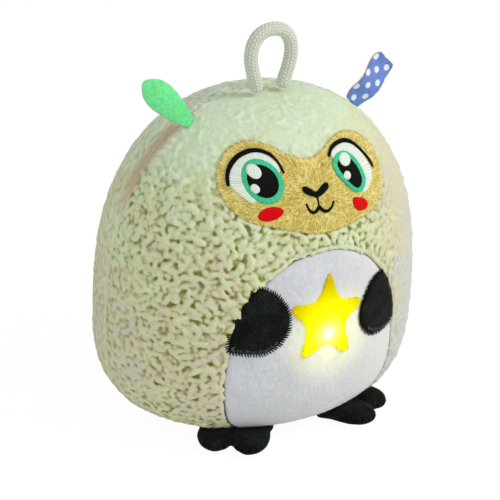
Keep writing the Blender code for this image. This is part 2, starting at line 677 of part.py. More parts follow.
# Star and arms on the belly
patch_low = FIT_GAP - BELLY_SINK
patch_high = patch_low + PATCH_THICKNESS
star_outline = []
for corner in range(2 * STAR_POINTS):
    reach = STAR_NOTCH_RADIUS if corner % 2 else STAR_TIP_RADIUS
    angle = math.pi * corner / STAR_POINTS + math.radians(STAR_TILT_DEGREES)
    star_outline.append((STAR_SHIFT + reach * math.sin(angle), STAR_HEIGHT + reach * math.cos(angle)))
star_edge = prism("star_edge", star_outline)
layer("star_patch", patch_low, patch_high, [star_edge], [], STAR_CLOTH)
arm_box = (ARM_OUTER - ARM_INNER, ARM_TOP - ARM_BOTTOM)
for side, side_name in ((-1.0, "right"), (1.0, "left")):
    arm_low = ARM_BOTTOM - side * ARM_STAGGER
    arm = [(side * (ARM_INNER + share[0] * arm_box[0]), arm_low + share[1] * arm_box[1])
           for share in ARM_OUTLINE_SHARES]
    arm_edge = prism("arm_edge_" + side_name, smooth_line(arm, 2, True))
    layer("arm_" + side_name, patch_low, patch_high, [arm_edge, belly_edge], [], BLACK_PLUSH)

# Feet: padded hoof shapes, cut by the body that bulges over them
body_clear = link_cutter("body_clear", lifted_skin(FIT_GAP))


def padded_mesh(outline, thickness):
    """Stuffed pad on an outline: rounded edge, crowned faces, centred in its thickness."""
    work = bmesh.new()
    face = work.faces.new([work.verts.new((x, y, 0.0)) for x, y in outline])
    work.normal_update()
    if face.normal.z < 0.0:
        face.normal_flip()
    half = 0.5 * thickness
    for width_share, rise_share in PAD_EDGE_SHARES:
        bmesh.ops.inset_region(work, faces=[face], thickness=width_share * half, depth=rise_share * half,
                               use_even_offset=True, use_boundary=True)
    copied = bmesh.ops.duplicate(work, geom=work.verts[:] + work.edges[:] + work.faces[:])["geom"]
    lower = [item for item in copied if isinstance(item, bmesh.types.BMFace)]
    for vert in {vert for face in lower for vert in face.verts}:
        vert.co.z = -vert.co.z
    bmesh.ops.reverse_faces(work, faces=lower)
    bmesh.ops.remove_doubles(work, verts=work.verts, dist=MERGE_DISTANCE)
    mesh = bpy.data.meshes.new("pad")
    work.to_mesh(mesh)
    work.free()
    return mesh


foot_outline = smooth_line(
    [(share[0] * FOOT_LENGTH, share[1] * FOOT_HALF_WIDTH) for share in FOOT_OUTLINE_SHARES], 2, True)
for side, side_name in ((-1.0, "right"), (1.0, "left")):
    turn = math.radians(FOOT_TURN_DEGREES)
    outward = Vector((side * math.sin(turn), -math.cos(turn), 0.0))
    share = body_share(FOOT_AXIS_HEIGHT)
    spread = 1.0 / math.sqrt((outward.x / (0.5 * BODY_WIDTH)) ** 2 + (outward.y / (0.5 * BODY_DEPTH)) ** 2)
    root = outward * (share * spread + FOOT_AXIS_CLEARANCE)
    root.z = FOOT_AXIS_HEIGHT
    holder = bpy.data.objects.new("foot_axis_" + side_name, None)
    parts.objects.link(holder)
    holder.location = root
    pad = padded_mesh(foot_outline, FOOT_THICKNESS)
    across = outward.cross(Vector((0.0, 0.0, 1.0)))
    frame = Matrix((outward, -across, Vector((0.0, 0.0, 1.0)))).transposed().to_4x4()
    level = FOOT_FLOOR_GAP + 0.5 * FOOT_THICKNESS
    pad.transform(Matrix.Translation((root.x, root.y, level)) @ frame)
    foot = link("foot_" + side_name, pad, BLACK_PLUSH, holder)
    boolean(foot, body_clear, "DIFFERENCE")

# Ears: two ribbon leaves back to back, on a hinge line along the body
for side, side_name, height, length, shares, finish in (
        (-1.0, "right", RIGHT_EAR_ROOT_HEIGHT, RIGHT_EAR_LENGTH, PETAL_SHARES, GREEN_RIBBON),
        (1.0, "left", LEFT_EAR_ROOT_HEIGHT, LEFT_EAR_LENGTH, STRIP_SHARES, BLUE_RIBBON)):
    point, normal = side_point(height, EAR_FORWARD)
    root = point + normal * EAR_AXIS_LIFT
    root.x *= side
    holder = bpy.data.objects.new("ear_axis_" + side_name, None)
    parts.objects.link(holder)
    holder.location = root
    half_outline = [(share[0] * length, share[1] * 0.5 * EAR_WIDTH) for share in shares]
    tip = [] if side > 0.0 else [(length, 0.0)]
    foot_line = [(-EAR_AXIS_LIFT - RIBBON_THICKNESS, share * 0.5 * EAR_WIDTH) for share in (shares[0][1],)]
    upper_side = smooth_line(foot_line + half_outline + tip, 2, False)
    lower_side = [(along, -across) for along, across in reversed(upper_side)]
    outline = upper_side + (lower_side[1:] if tip else lower_side)
    lean = math.radians(EAR_TILT_DEGREES)
    along = Vector((side * math.sin(lean), 0.0, math.cos(lean)))
    across = Vector((0.0, -1.0, 0.0)).cross(along)
    frame = Matrix((along, across, Vector((0.0, -1.0, 0.0)))).transposed().to_4x4()
    seat = link_cutter("ear_seat_" + side_name, lifted_skin(EAR_SEAT))
    for shift, leaf_name, leaf_finish in ((1.0, "ear_ribbon_", finish), (-1.0, "ear_backing_", PINK_RIBBON)):
        leaf = flat_mesh(outline, RIBBON_THICKNESS)
        offset = shift * 0.5 * (RIBBON_THICKNESS + RIBBON_GAP)
        leaf.transform(Matrix.Translation(root) @ frame @ Matrix.Translation((0.0, 0.0, offset)))
        ear = link(leaf_name + side_name, leaf, leaf_finish, holder)
        boolean(ear, seat, "DIFFERENCE")

# Hanging loop: the rope's two rounded ends turn in the sockets of the crown
holder = bpy.data.objects.new("loop_axis", None)
parts.objects.link(holder)
holder.location = loop_axis
rise = LOOP_HEIGHT - LOOP_AXIS_LIFT
half_route = [(LOOP_LEG_SPREAD, 0.0)] + [
    (share[0] * LOOP_HALF_WIDTH, share[1] * rise) for share in LOOP_SHAPE_SHARES]
route = [(-x, z) for x, z in half_route] + [(0.0, rise)] + half_route[::-1]
route = smooth_line(route, ROPE_STEPS, False)
rope = tube_mesh([(x, loop_axis.y, loop_axis.z + z) for x, z in route], rope_radius, ROPE_BEVEL_STEPS)
loop = link("hanging_loop", rope, ROPE, holder)
work = bmesh.new()
for side in (-1.0, 1.0):
    end = Matrix.Translation((side * LOOP_LEG_SPREAD, loop_axis.y, loop_axis.z))
    bmesh.ops.create_uvsphere(work, u_segments=16, v_segments=10, radius=rope_radius, matrix=end)
ball_mesh = bpy.data.meshes.new("rope_ends")
work.to_mesh(ball_mesh)
work.free()
rope_ends = link_cutter("rope_ends", ball_mesh)
boolean(loop, rope_ends, "UNION")

# Light unit behind the star, turned about an axis that points forward
light_level = STAR_HEIGHT
rim_depth = body_depth_at(0.0, light_level + LIGHT_RADIUS) - FLEECE_THICKNESS - LIGHT_CLEARANCE - COVER_RISE
light_place = Matrix.Translation((0.0, -rim_depth, light_level)) @ Matrix.Rotation(0.5 * math.pi, 4, "X")
inner_radius = LIGHT_RADIUS - LIGHT_WALL
rear = -LIGHT_DEPTH
floor_top = rear + LIGHT_WALL
ledge_top = floor_top + LEDGE_HEIGHT
board_low = ledge_top + FIT_GAP
board_top = board_low + BOARD_THICKNESS
rim_top = -COVER_LIP
housing_profile = [
    (0.0, floor_top), (inner_radius - LEDGE_WIDTH, floor_top), (inner_radius - LEDGE_WIDTH, ledge_top),
    (inner_radius, ledge_top), (inner_radius, rim_top), (LIGHT_RADIUS, rim_top),
    (LIGHT_RADIUS, rear + LIGHT_WALL), (LIGHT_RADIUS - LIGHT_WALL, rear), (0.0, rear)]
housing = link("light_housing", turned_mesh(housing_profile, LIGHT_STEPS, light_place), WHITE_PLASTIC)


def cover_height(radius):
    return COVER_RISE * (1.0 - (radius / LIGHT_RADIUS) ** 2)


hole_radius = BUTTON_RADIUS + BUTTON_CLEARANCE
cover_radii = [hole_radius + (LIGHT_RADIUS - hole_radius) * share / 2.0 for share in range(3)]
lip_radius = inner_radius - FIT_GAP
cover_outer = [(radius, cover_height(radius)) for radius in cover_radii]
cover_inner = [(min(radius, lip_radius - COVER_THICKNESS), cover_height(radius) - COVER_THICKNESS)
               for radius in reversed(cover_radii)]
cover_profile = cover_outer + [
    (LIGHT_RADIUS, rim_top + FIT_GAP), (lip_radius, rim_top + FIT_GAP),
    (lip_radius, rim_top - COVER_THICKNESS),
    (lip_radius - COVER_THICKNESS, rim_top - COVER_THICKNESS)] + cover_inner
cover = link("light_cover", turned_mesh(cover_profile, LIGHT_STEPS, light_place, closed=True), CLEAR_PLASTIC)
board_radius = inner_radius - FIT_GAP
board_profile = [(0.0, board_top), (board_radius, board_top), (board_radius, board_low), (0.0, board_low)]
board = link("light_board", turned_mesh(board_profile, LIGHT_STEPS, light_place), BOARD_GREEN)

# Screws from the rear of the housing through the board into posts of the cover
screw_low = rear - FIT_GAP - SCREW_HEAD_HEIGHT
post_low = board_top + FIT_GAP
screw_end = post_low + 0.5 * (cover_height(SCREW_RING) - COVER_THICKNESS - post_low)
screw_profile = [
    (0.0, screw_end), (SCREW_RADIUS, screw_end), (SCREW_RADIUS, rear - FIT_GAP),
    (SCREW_HEAD_RADIUS, rear - FIT_GAP), (SCREW_HEAD_RADIUS, screw_low), (0.0, screw_low)]
hole_top = screw_end + FIT_GAP
hole_reach = SCREW_RADIUS + FIT_GAP
hole_profile = [(0.0, hole_top), (hole_reach, hole_top), (hole_reach, screw_low), (0.0, screw_low)]
post_top = cover_height(SCREW_RING) - 0.5 * COVER_THICKNESS
post_profile = [
    (0.0, post_top), (SCREW_POST_RADIUS, post_top), (SCREW_POST_RADIUS, post_low), (0.0, post_low)]
holes, posts = [], []
for side, side_name in ((-1.0, "right"), (1.0, "left")):
    place = light_place @ Matrix.Translation((side * SCREW_RING, 0.0, 0.0))
    link("light_screw_" + side_name, turned_mesh(screw_profile, SCREW_STEPS, place), STEEL)
    holes.append(turned_mesh(hole_profile, SCREW_STEPS, place))
    posts.append(turned_mesh(post_profile, SCREW_STEPS, place))
screw_holes = link_cutter("screw_holes", merge_meshes("screw_holes", holes))
screw_posts = link_cutter("screw_posts", merge_meshes("screw_posts", posts))
boolean(cover, screw_posts, "UNION")
for piece in (housing, cover, board):
    boolean(piece, screw_holes, "DIFFERENCE")

# Light diodes round the switch
for index in range(DIODE_COUNT):
    angle = math.radians(90.0) + 2.0 * math.pi * index / DIODE_COUNT
    low = board_top + FIT_GAP
    dome = low + DIODE_HEIGHT - DIODE_RADIUS
    arc = [math.radians(90.0 - 22.5 * step) for step in range(4)]
    profile = [(DIODE_RADIUS * math.cos(a) if step else 0.0, dome + DIODE_RADIUS * math.sin(a))
               for step, a in enumerate(arc)]
    profile += [(DIODE_RADIUS, dome), (DIODE_RADIUS, low), (0.0, low)]
    place = light_place @ Matrix.Translation(
        (DIODE_RING * math.cos(angle), DIODE_RING * math.sin(angle), 0.0))
    link(f"light_diode_{index + 1}", turned_mesh(profile, SCREW_STEPS, place), CLEAR_PLASTIC)

# Push switch with its bore, and the button that moves with the plunger
switch_low = board_top + FIT_GAP
switch_top = switch_low + SWITCH_HEIGHT
half_switch = 0.5 * SWITCH_SIZE
switch_mesh = box_mesh((-half_switch, -half_switch, switch_low), (half_switch, half_switch, switch_top))
switch_mesh.transform(light_place)
switch = link("switch_body", switch_mesh, BLACK_PLASTIC)
bore_low = switch_top - PLUNGER_DEPTH - BUTTON_TRAVEL - FIT_GAP
bore_radius = PLUNGER_RADIUS + FIT_GAP
bore_high = switch_top + CUT_OVERRUN
bore_profile = [(0.0, bore_high), (bore_radius, bore_high), (bore_radius, bore_low), (0.0, bore_low)]
switch_bore = link_cutter("switch_bore", turned_mesh(bore_profile, SCREW_STEPS, light_place))
boolean(switch, switch_bore, "DIFFERENCE")
holder = bpy.data.objects.new("button_axis", None)
parts.objects.link(holder)
holder.location = light_place.to_translation()
plunger_low = switch_top - PLUNGER_DEPTH
plunger_top = switch_top + PLUNGER_RISE
plunger_profile = [
    (0.0, plunger_top), (PLUNGER_RADIUS, plunger_top), (PLUNGER_RADIUS, plunger_low), (0.0, plunger_low)]
link("switch_plunger", turned_mesh(plunger_profile, SCREW_STEPS, light_place), WHITE_PLASTIC, holder)
flange_top = cover_height(hole_radius) - COVER_THICKNESS - FIT_GAP
flange_low = flange_top - BUTTON_FLANGE_THICKNESS
stem_low = plunger_top + FIT_GAP
button_profile = [
    (0.0, COVER_RISE), (0.6 * BUTTON_RADIUS, cover_height(0.6 * BUTTON_RADIUS)),
    (BUTTON_RADIUS, cover_height(BUTTON_RADIUS)), (BUTTON_RADIUS, flange_top),
    (hole_radius + BUTTON_FLANGE, flange_top), (hole_radius + BUTTON_FLANGE, flange_low),
    (STEM_RADIUS, flange_low), (STEM_RADIUS, stem_low), (0.0, stem_low)]
link("light_button", turned_mesh(button_profile, LIGHT_STEPS, light_place), CLEAR_PLASTIC, holder)

# Battery box: tray open to the rear, three cells side by side, contacts, lid and screw
tray_half_width = 0.5 * (CELL_COUNT - 1) * CELL_PITCH + CELL_RADIUS + CELL_CLEARANCE
bay_height = CELL_LENGTH + SPRING_SPACE + 2.0 * CONTACT_THICKNESS + 4.0 * FIT_GAP
bay_depth = 2.0 * CELL_RADIUS + CELL_CLEARANCE + FIT_GAP
bay_low = BOX_MIDDLE_HEIGHT - 0.5 * bay_height
bay_high = BOX_MIDDLE_HEIGHT + 0.5 * bay_height
box_half_width = tray_half_width + TRAY_WALL
box_low = bay_low - TRAY_WALL - TRAY_BOSS
box_high = bay_high + TRAY_WALL
box_depths = [body_depth_at(box_half_width, height) for height in (box_low, box_high)]
lid_rear = min(box_depths) - FLEECE_THICKNESS - TAPE_THICKNESS - BOX_CLEARANCE
lid_front = lid_rear - LID_THICKNESS
tray_rear = lid_front - FIT_GAP
bay_front = tray_rear - bay_depth
tray_front = bay_front - TRAY_WALL
tray = link("battery_tray", box_mesh(
    (-box_half_width, tray_front, box_low), (box_half_width, tray_rear, box_high)), WHITE_PLASTIC)
round_upright_edges(tray, BOX_EDGE)
bay = link_cutter("battery_bay", box_mesh(
    (-tray_half_width, bay_front, bay_low), (tray_half_width, tray_rear + CUT_OVERRUN, bay_high)))
boolean(tray, bay, "DIFFERENCE")
lid = link("battery_lid", box_mesh(
    (-box_half_width, lid_front, box_low), (box_half_width, lid_rear, box_high)), WHITE_PLASTIC)
round_upright_edges(lid, BOX_EDGE)

cell_axis = bay_front + CELL_RADIUS + FIT_GAP
cell_body = CELL_LENGTH - CELL_TIP_HEIGHT
cell_profile = [(0.0, CELL_LENGTH), (CELL_TIP_RADIUS, CELL_LENGTH), (CELL_TIP_RADIUS, cell_body),
                (CELL_RADIUS, cell_body), (CELL_RADIUS, 0.0), (0.0, 0.0)]
for index in range(CELL_COUNT):
    across = (index - 0.5 * (CELL_COUNT - 1)) * CELL_PITCH
    upright = index % 2 == 0
    flip = Matrix.Identity(4) if upright else Matrix.Rotation(math.pi, 4, "X")
    spring_plate = CONTACT_THICKNESS + FIT_GAP
    start = bay_low + spring_plate + SPRING_SPACE + FIT_GAP
    base = start if upright else bay_high - (start - bay_low)
    cell_place = Matrix.Translation((across, cell_axis, base)) @ flip
    link(f"battery_cell_{index + 1}", turned_mesh(cell_profile, CELL_STEPS, cell_place), CELL_WRAP)
    coil = []
    usable = SPRING_SPACE - SPRING_WIRE - 2.0 * FIT_GAP
    for step in range(SPRING_TURNS * SPRING_TURN_STEPS + 1):
        share = step / (SPRING_TURNS * SPRING_TURN_STEPS)
        angle = 2.0 * math.pi * SPRING_TURNS * share
        radius = SPRING_RADIUS * (1.0 - 0.35 * share)
        rise = spring_plate + FIT_GAP + 0.5 * SPRING_WIRE + usable * share
        level = bay_low + rise if upright else bay_high - rise
        coil.append((across + radius * math.cos(angle), cell_axis + radius * math.sin(angle), level))
    link(f"battery_spring_{index + 1}", tube_mesh(coil, 0.5 * SPRING_WIRE, 1), STEEL)

# Contact plates that join the cells in a row: two bridges and two end plates
reach = 0.5 * CONTACT_SIZE
for plate_name, first, last, low in (
        ("contact_end_low", 0, 0, bay_low + FIT_GAP), ("contact_bridge_low", 1, 2, bay_low + FIT_GAP),
        ("contact_bridge_high", 0, 1, bay_high - FIT_GAP - CONTACT_THICKNESS),
        ("contact_end_high", 2, 2, bay_high - FIT_GAP - CONTACT_THICKNESS)):
    near = (first - 0.5 * (CELL_COUNT - 1)) * CELL_PITCH - reach
    far = (last - 0.5 * (CELL_COUNT - 1)) * CELL_PITCH + reach
    plate = box_mesh((near, cell_axis - reach, low), (far, cell_axis + reach, low + CONTACT_THICKNESS))
    link(plate_name, plate, STEEL)

# Screw of the lid, in the boss under the bay
boss_height = bay_low - TRAY_WALL - 0.5 * TRAY_BOSS
lid_screw_place = Matrix.Translation((0.0, 0.0, boss_height)) @ Matrix.Rotation(-0.5 * math.pi, 4, "X")
screw_depth = tray_rear - 0.5 * bay_depth
sunk = lid_rear - 0.5 * LID_THICKNESS
head_top = lid_rear - FIT_GAP
lid_screw_profile = [
    (0.0, head_top), (SCREW_HEAD_RADIUS, head_top), (SCREW_HEAD_RADIUS, sunk), (SCREW_RADIUS, sunk),
    (SCREW_RADIUS, screw_depth), (0.0, screw_depth)]
link("battery_lid_screw", turned_mesh(lid_screw_profile, SCREW_STEPS, lid_screw_place), STEEL)
lid_hole_profile = [
    (0.0, lid_rear + CUT_OVERRUN), (SCREW_HEAD_RADIUS + FIT_GAP, lid_rear + CUT_OVERRUN),
    (SCREW_HEAD_RADIUS + FIT_GAP, sunk - FIT_GAP), (SCREW_RADIUS + FIT_GAP, sunk - FIT_GAP),
    (SCREW_RADIUS + FIT_GAP, screw_depth - FIT_GAP), (0.0, screw_depth - FIT_GAP)]
lid_hole = link_cutter("lid_hole", turned_mesh(lid_hole_profile, SCREW_STEPS, lid_screw_place))
boolean(tray, lid_hole, "DIFFERENCE")
boolean(lid, lid_hole, "DIFFERENCE")

# Back panel with its closing flap, hinged along the flap's top edge
flap_top = box_high + FLAP_HEAD
flap_bottom = box_low - CLOSURE_HEIGHT
pouch_low = (-box_half_width - FIT_GAP, tray_front - FIT_GAP, box_low - FIT_GAP)
pouch_high = (box_half_width + FIT_GAP, lid_rear, box_high + FIT_GAP)
skin_of_pouch = Vector((POUCH_THICKNESS, POUCH_THICKNESS, POUCH_THICKNESS))
flap_outline = [
    (-FLAP_HALF_WIDTH, flap_top), (-FLAP_HALF_WIDTH, flap_bottom + FLAP_CORNER),
    (-FLAP_HALF_WIDTH + 0.3 * FLAP_CORNER, flap_bottom + 0.3 * FLAP_CORNER),
    (-FLAP_HALF_WIDTH + FLAP_CORNER, flap_bottom), (FLAP_HALF_WIDTH - FLAP_CORNER, flap_bottom),
    (FLAP_HALF_WIDTH - 0.3 * FLAP_CORNER, flap_bottom + 0.3 * FLAP_CORNER),
    (FLAP_HALF_WIDTH, flap_bottom + FLAP_CORNER), (FLAP_HALF_WIDTH, flap_top)]
flap_edge = prism("flap_edge", flap_outline, front=False)
flap_cut = prism("flap_cut", grown(flap_outline, SEAM_GAP), front=False)
layer("fleece_back", -FLEECE_THICKNESS, 0.0, [back_half], [flap_cut], FLEECE)
holder = bpy.data.objects.new("flap_axis", None)
parts.objects.link(holder)
holder.location = (0.0, body_depth_at(0.0, flap_top) + FIT_GAP, flap_top)
layer("access_flap", -FLEECE_THICKNESS, 0.0, [flap_edge], [], FLEECE, holder=holder)
tape_low = flap_bottom + TAPE_MARGIN
tape_top = pouch_low[2] - POUCH_THICKNESS - FIT_GAP
tape_outline = [(-TAPE_HALF_WIDTH, tape_low), (TAPE_HALF_WIDTH, tape_low),
                (TAPE_HALF_WIDTH, tape_top), (-TAPE_HALF_WIDTH, tape_top)]
tape_edge = prism("tape_edge", tape_outline, front=False)
loop_tape_high = -FLEECE_THICKNESS - FIT_GAP
loop_tape_low = loop_tape_high - TAPE_THICKNESS
hook_tape_high = loop_tape_low - FIT_GAP
hook_tape_low = hook_tape_high - TAPE_THICKNESS
layer("closure_loop_tape", loop_tape_low, loop_tape_high, [tape_edge], [], TAPE_CLOTH, holder=holder)
layer("closure_hook_tape", hook_tape_low, hook_tape_high, [tape_edge], [], TAPE_CLOTH)

# Pouch round the battery box, with a lip under the hook tape
lip_high = hook_tape_low - FIT_GAP
lip_low = lip_high - POUCH_THICKNESS
lip_outline = [(-TAPE_HALF_WIDTH - TAPE_MARGIN, flap_bottom), (TAPE_HALF_WIDTH + TAPE_MARGIN, flap_bottom),
               (TAPE_HALF_WIDTH + TAPE_MARGIN, pouch_low[2]), (-TAPE_HALF_WIDTH - TAPE_MARGIN, pouch_low[2])]
lip_edge = prism("lip_edge", lip_outline, front=False)
pouch_reach = Vector(pouch_high) + Vector((POUCH_THICKNESS, 0.0, POUCH_THICKNESS))
pouch_outer = box_mesh(Vector(pouch_low) - skin_of_pouch, pouch_reach)
pouch = link("battery_pouch", pouch_outer, POUCH_CLOTH)
lip = layer("pouch_lip", lip_low, lip_high, [lip_edge], [], POUCH_CLOTH)
lip_cutter = link_cutter("pouch_lip_shape", evaluated_mesh(lip))
pouch_room = link_cutter("pouch_room", box_mesh(
    pouch_low, Vector(pouch_high) + Vector((0.0, CUT_OVERRUN, 0.0))))
inner_clear = link_cutter("inner_clear", lifted_skin(loop_tape_low))
boolean(pouch, inner_clear, "INTERSECT")
boolean(pouch, lip_cutter, "UNION")
boolean(pouch, pouch_room, "DIFFERENCE")

# Lead from the battery box to the light, in its passage through the filling
lead_start = Vector((0.0, tray_front + 0.5 * TRAY_WALL, BOX_MIDDLE_HEIGHT))
lead_end = light_place @ Vector((0.0, 0.0, rear + 0.5 * LIGHT_WALL))
middle = (lead_start + lead_end) * 0.5
straight = Vector((0.0, 0.2 * (lead_start.y - lead_end.y), 0.0))
route = [
    lead_start, lead_start - straight, middle - Vector((0.0, 0.0, LEAD_SAG)), lead_end + straight, lead_end]
route = smooth_line([tuple(point) for point in route], 4, False)
link("lead", tube_mesh(route, LEAD_RADIUS, 2), BLACK_PLASTIC)
ends = [route[0][1] + CUT_OVERRUN, route[-1][1] - CUT_OVERRUN]
channel_route = [(route[0][0], ends[0], route[0][2])] + route[1:-1] + [(route[-1][0], ends[1], route[-1][2])]
channel = link_cutter("lead_channel", tube_mesh(channel_route, LEAD_RADIUS + LEAD_CHANNEL_CLEARANCE, 2))
boolean(tray, channel, "DIFFERENCE")
boolean(pouch, channel, "DIFFERENCE")
boolean(housing, channel, "DIFFERENCE")

# Filling of the body, with a recess for the light and one for the pouch
filling = link("stuffing", lifted_skin(-FLEECE_THICKNESS - FIT_GAP), FILLING)
light_room_radius = LIGHT_RADIUS + FIT_GAP
light_room_low = screw_low - FIT_GAP
light_room_profile = [
    (0.0, rim_depth), (light_room_radius, rim_depth),
    (light_room_radius, light_room_low), (0.0, light_room_low)]
light_room = link_cutter("light_room", turned_mesh(light_room_profile, LIGHT_STEPS, light_place))
gap = Vector((FIT_GAP, FIT_GAP, FIT_GAP))
pouch_recess_low = Vector(pouch_low) - skin_of_pouch - gap
pouch_recess_high = Vector(pouch_high) + skin_of_pouch + gap
pouch_recess_high.y = 0.5 * BODY_DEPTH + CUT_OVERRUN
pouch_recess = link_cutter("pouch_recess", box_mesh(pouch_recess_low, pouch_recess_high))
lip_room_outline = grown(lip_outline, FIT_GAP)
lip_room_edge = prism("lip_room_edge", lip_room_outline, front=False)
lip_room = layer("lip_room", lip_low - FIT_GAP, 0.0, [lip_room_edge], [], None)
lip_recess = link_cutter("lip_recess", evaluated_mesh(lip_room))
for cutter in (light_room, pouch_recess, lip_recess, channel, rope_sockets):
    boolean(filling, cutter, "DIFFERENCE")

# Round pieces are shaded smooth
for piece in parts.objects:
    if piece.type == "MESH":
        piece.data.shade_smooth()
        piece.data.set_sharp_from_angle(angle=math.radians(40.0))
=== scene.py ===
"""Plush night light: the looks of a stuffed sheep whose belly star glows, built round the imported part.

Metres, +Z up, the face looks along -Y. Left and right are the sheep's own sides, so its left is at +X.
"""
import math
import random

import bmesh
import bpy
import numpy as np
from mathutils import Matrix, Vector, noise


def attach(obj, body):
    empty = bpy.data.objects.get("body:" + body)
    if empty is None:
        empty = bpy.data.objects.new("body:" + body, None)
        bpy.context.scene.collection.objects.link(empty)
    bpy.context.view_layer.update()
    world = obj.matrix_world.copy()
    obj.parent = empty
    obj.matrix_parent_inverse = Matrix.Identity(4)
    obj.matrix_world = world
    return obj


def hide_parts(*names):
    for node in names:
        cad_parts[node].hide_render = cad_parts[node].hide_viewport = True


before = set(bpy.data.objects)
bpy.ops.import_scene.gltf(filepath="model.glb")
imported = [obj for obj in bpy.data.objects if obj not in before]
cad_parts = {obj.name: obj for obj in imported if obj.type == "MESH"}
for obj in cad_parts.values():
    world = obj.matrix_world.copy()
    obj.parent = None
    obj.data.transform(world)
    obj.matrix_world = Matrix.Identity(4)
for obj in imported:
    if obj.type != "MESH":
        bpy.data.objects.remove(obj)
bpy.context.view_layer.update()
random.seed(11)
MM = 0.001

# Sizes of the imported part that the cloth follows
HALF_WIDTH = 0.5 * 0.182
HALF_DEPTH = 0.5 * 0.147
WIDEST_HEIGHT = 0.06102
OVER_WIDEST = 0.180 - WIDEST_HEIGHT
UNDER_WIDEST = WIDEST_HEIGHT + 0.0005
CROWN_POWER = 2.43
BASE_POWER = 3.2
FLEECE_THICKNESS = 0.0030
FACE_MIDDLE = (-0.0018, 0.146502)
FACE_TILT_DEGREES = 5.0
EAR_ROOTS = {"right": (-0.045998, -0.006, 0.171239), "left": (0.053153, -0.006, 0.166729)}
EAR_TILT_DEGREES = 46.5
LOOP_AXIS = (0.0, -0.007, 0.182558)
LOOP_LEG_SPREAD = 0.0080
ROPE_RADIUS = 0.0037
FOOT_ROOT = (0.027974, 0.035806)
FOOT_TURN_DEGREES = 38.0
FOOT_LENGTH = 0.0328
FOOT_HALF_WIDTH = 0.0195


# Shape helpers

def share_at(height):
    """Half width of the body at heights, as shares of its widest half width."""
    height = np.asarray(height, float)
    rise = np.clip((height - WIDEST_HEIGHT) / OVER_WIDEST, 0.0, 1.0)
    drop = np.clip((WIDEST_HEIGHT - height) / UNDER_WIDEST, 0.0, 1.0)
    upper = np.maximum(1.0 - rise ** CROWN_POWER, 0.0) ** (1.0 / CROWN_POWER)
    lower = np.maximum(1.0 - drop ** BASE_POWER, 0.0) ** (1.0 / BASE_POWER)
    return np.where(height >= WIDEST_HEIGHT, upper, lower)


def skin(across, height, lift=0.0, front=-1.0):
    """Points over the body's skin at these places seen from the front, or from behind with front=1."""
    across, height = np.asarray(across, float), np.asarray(height, float)
    share = share_at(height)
    side = across / HALF_WIDTH
    depth = HALF_DEPTH * np.sqrt(np.maximum(share ** 2 - side ** 2, 0.002))
    step = 0.0002
    slope = (share_at(height + step) ** 2 - share_at(height - step) ** 2) / (2.0 * step)
    normal = np.stack([2.0 * across / HALF_WIDTH ** 2,
                       front * 2.0 * depth / HALF_DEPTH ** 2, -slope], -1)
    normal /= np.linalg.norm(normal, axis=-1, keepdims=True)
    point = np.stack([across, front * depth, height], -1)
    return point + normal * np.asarray(lift, float)[..., None]


def read_points(mesh):
    points = np.empty(len(mesh.vertices) * 3)
    mesh.vertices.foreach_get("co", points)
    return points.reshape(-1, 3)


def write_points(mesh, points):
    mesh.vertices.foreach_set("co", np.ascontiguousarray(points, float).ravel())
    mesh.update()


def read_normals(mesh):
    normals = np.empty(len(mesh.vertices) * 3)
    mesh.vertices.foreach_get("normal", normals)
    return normals.reshape(-1, 3)


def smooth_line(points, steps, closed=True):
    """A smooth curve through the points, with this many steps between two of them."""
    points = [np.array(point, float) for point in points]
    count = len(points)
    line = []
    for index in range(count if closed else count - 1):
        if closed:
            a, b, c, d = (points[(index + shift) % count] for shift in (-1, 0, 1, 2))
        else:
            b, c = points[index], points[index + 1]
            a = points[index - 1] if index else 2.0 * b - c
            d = points[index + 2] if index + 2 < count else 2.0 * c - b
        for step in range(steps):
            t = step / steps
            line.append(0.5 * (2.0 * b + (c - a) * t + (2.0 * a - 5.0 * b + 4.0 * c - d) * t * t
                               + (3.0 * b - a - 3.0 * c + d) * t ** 3))
    if not closed:
        line.append(points[-1])
    return np.array(line)


def mirrored(half):
    """A whole outline from its half, given from the top middle to the bottom middle."""
    return list(half) + [(-x, z) for x, z in reversed(half) if abs(x) > 1e-9]


def ellipse(middle, half_width, half_height, steps=28, lean=0.0):
    turn = math.radians(lean)
    points = []
    for step in range(steps):
        angle = 2.0 * math.pi * step / steps
        u, v = half_width * math.cos(angle), half_height * math.sin(angle)
        points.append((middle[0] + u * math.cos(turn) - v * math.sin(turn),
                       middle[1] + u * math.sin(turn) + v * math.cos(turn)))
    return np.array(points)


def band(line, widths):
    """Outline of a line of this width, round at both ends; widths may change along it."""
    line = np.asarray(line, float)
    ahead = np.gradient(line, axis=0)
    ahead /= np.linalg.norm(ahead, axis=1, keepdims=True)
    side = np.stack([-ahead[:, 1], ahead[:, 0]], 1)
    half = np.interp(np.linspace(0.0, 1.0, len(line)), np.linspace(0.0, 1.0, len(widths)), widths)
    half = 0.5 * half[:, None]
    tail = [line[-1] + half[-1] * (math.sin(a) * ahead[-1] + math.cos(a) * side[-1])
            for a in np.linspace(0.4, math.pi - 0.4, 4)]
    head = [line[0] - half[0] * (math.sin(a) * ahead[0] + math.cos(a) * side[0])
            for a in np.linspace(0.4, math.pi - 0.4, 4)]
    return np.concatenate([line + side * half, tail, (line - side * half)[::-1], head])


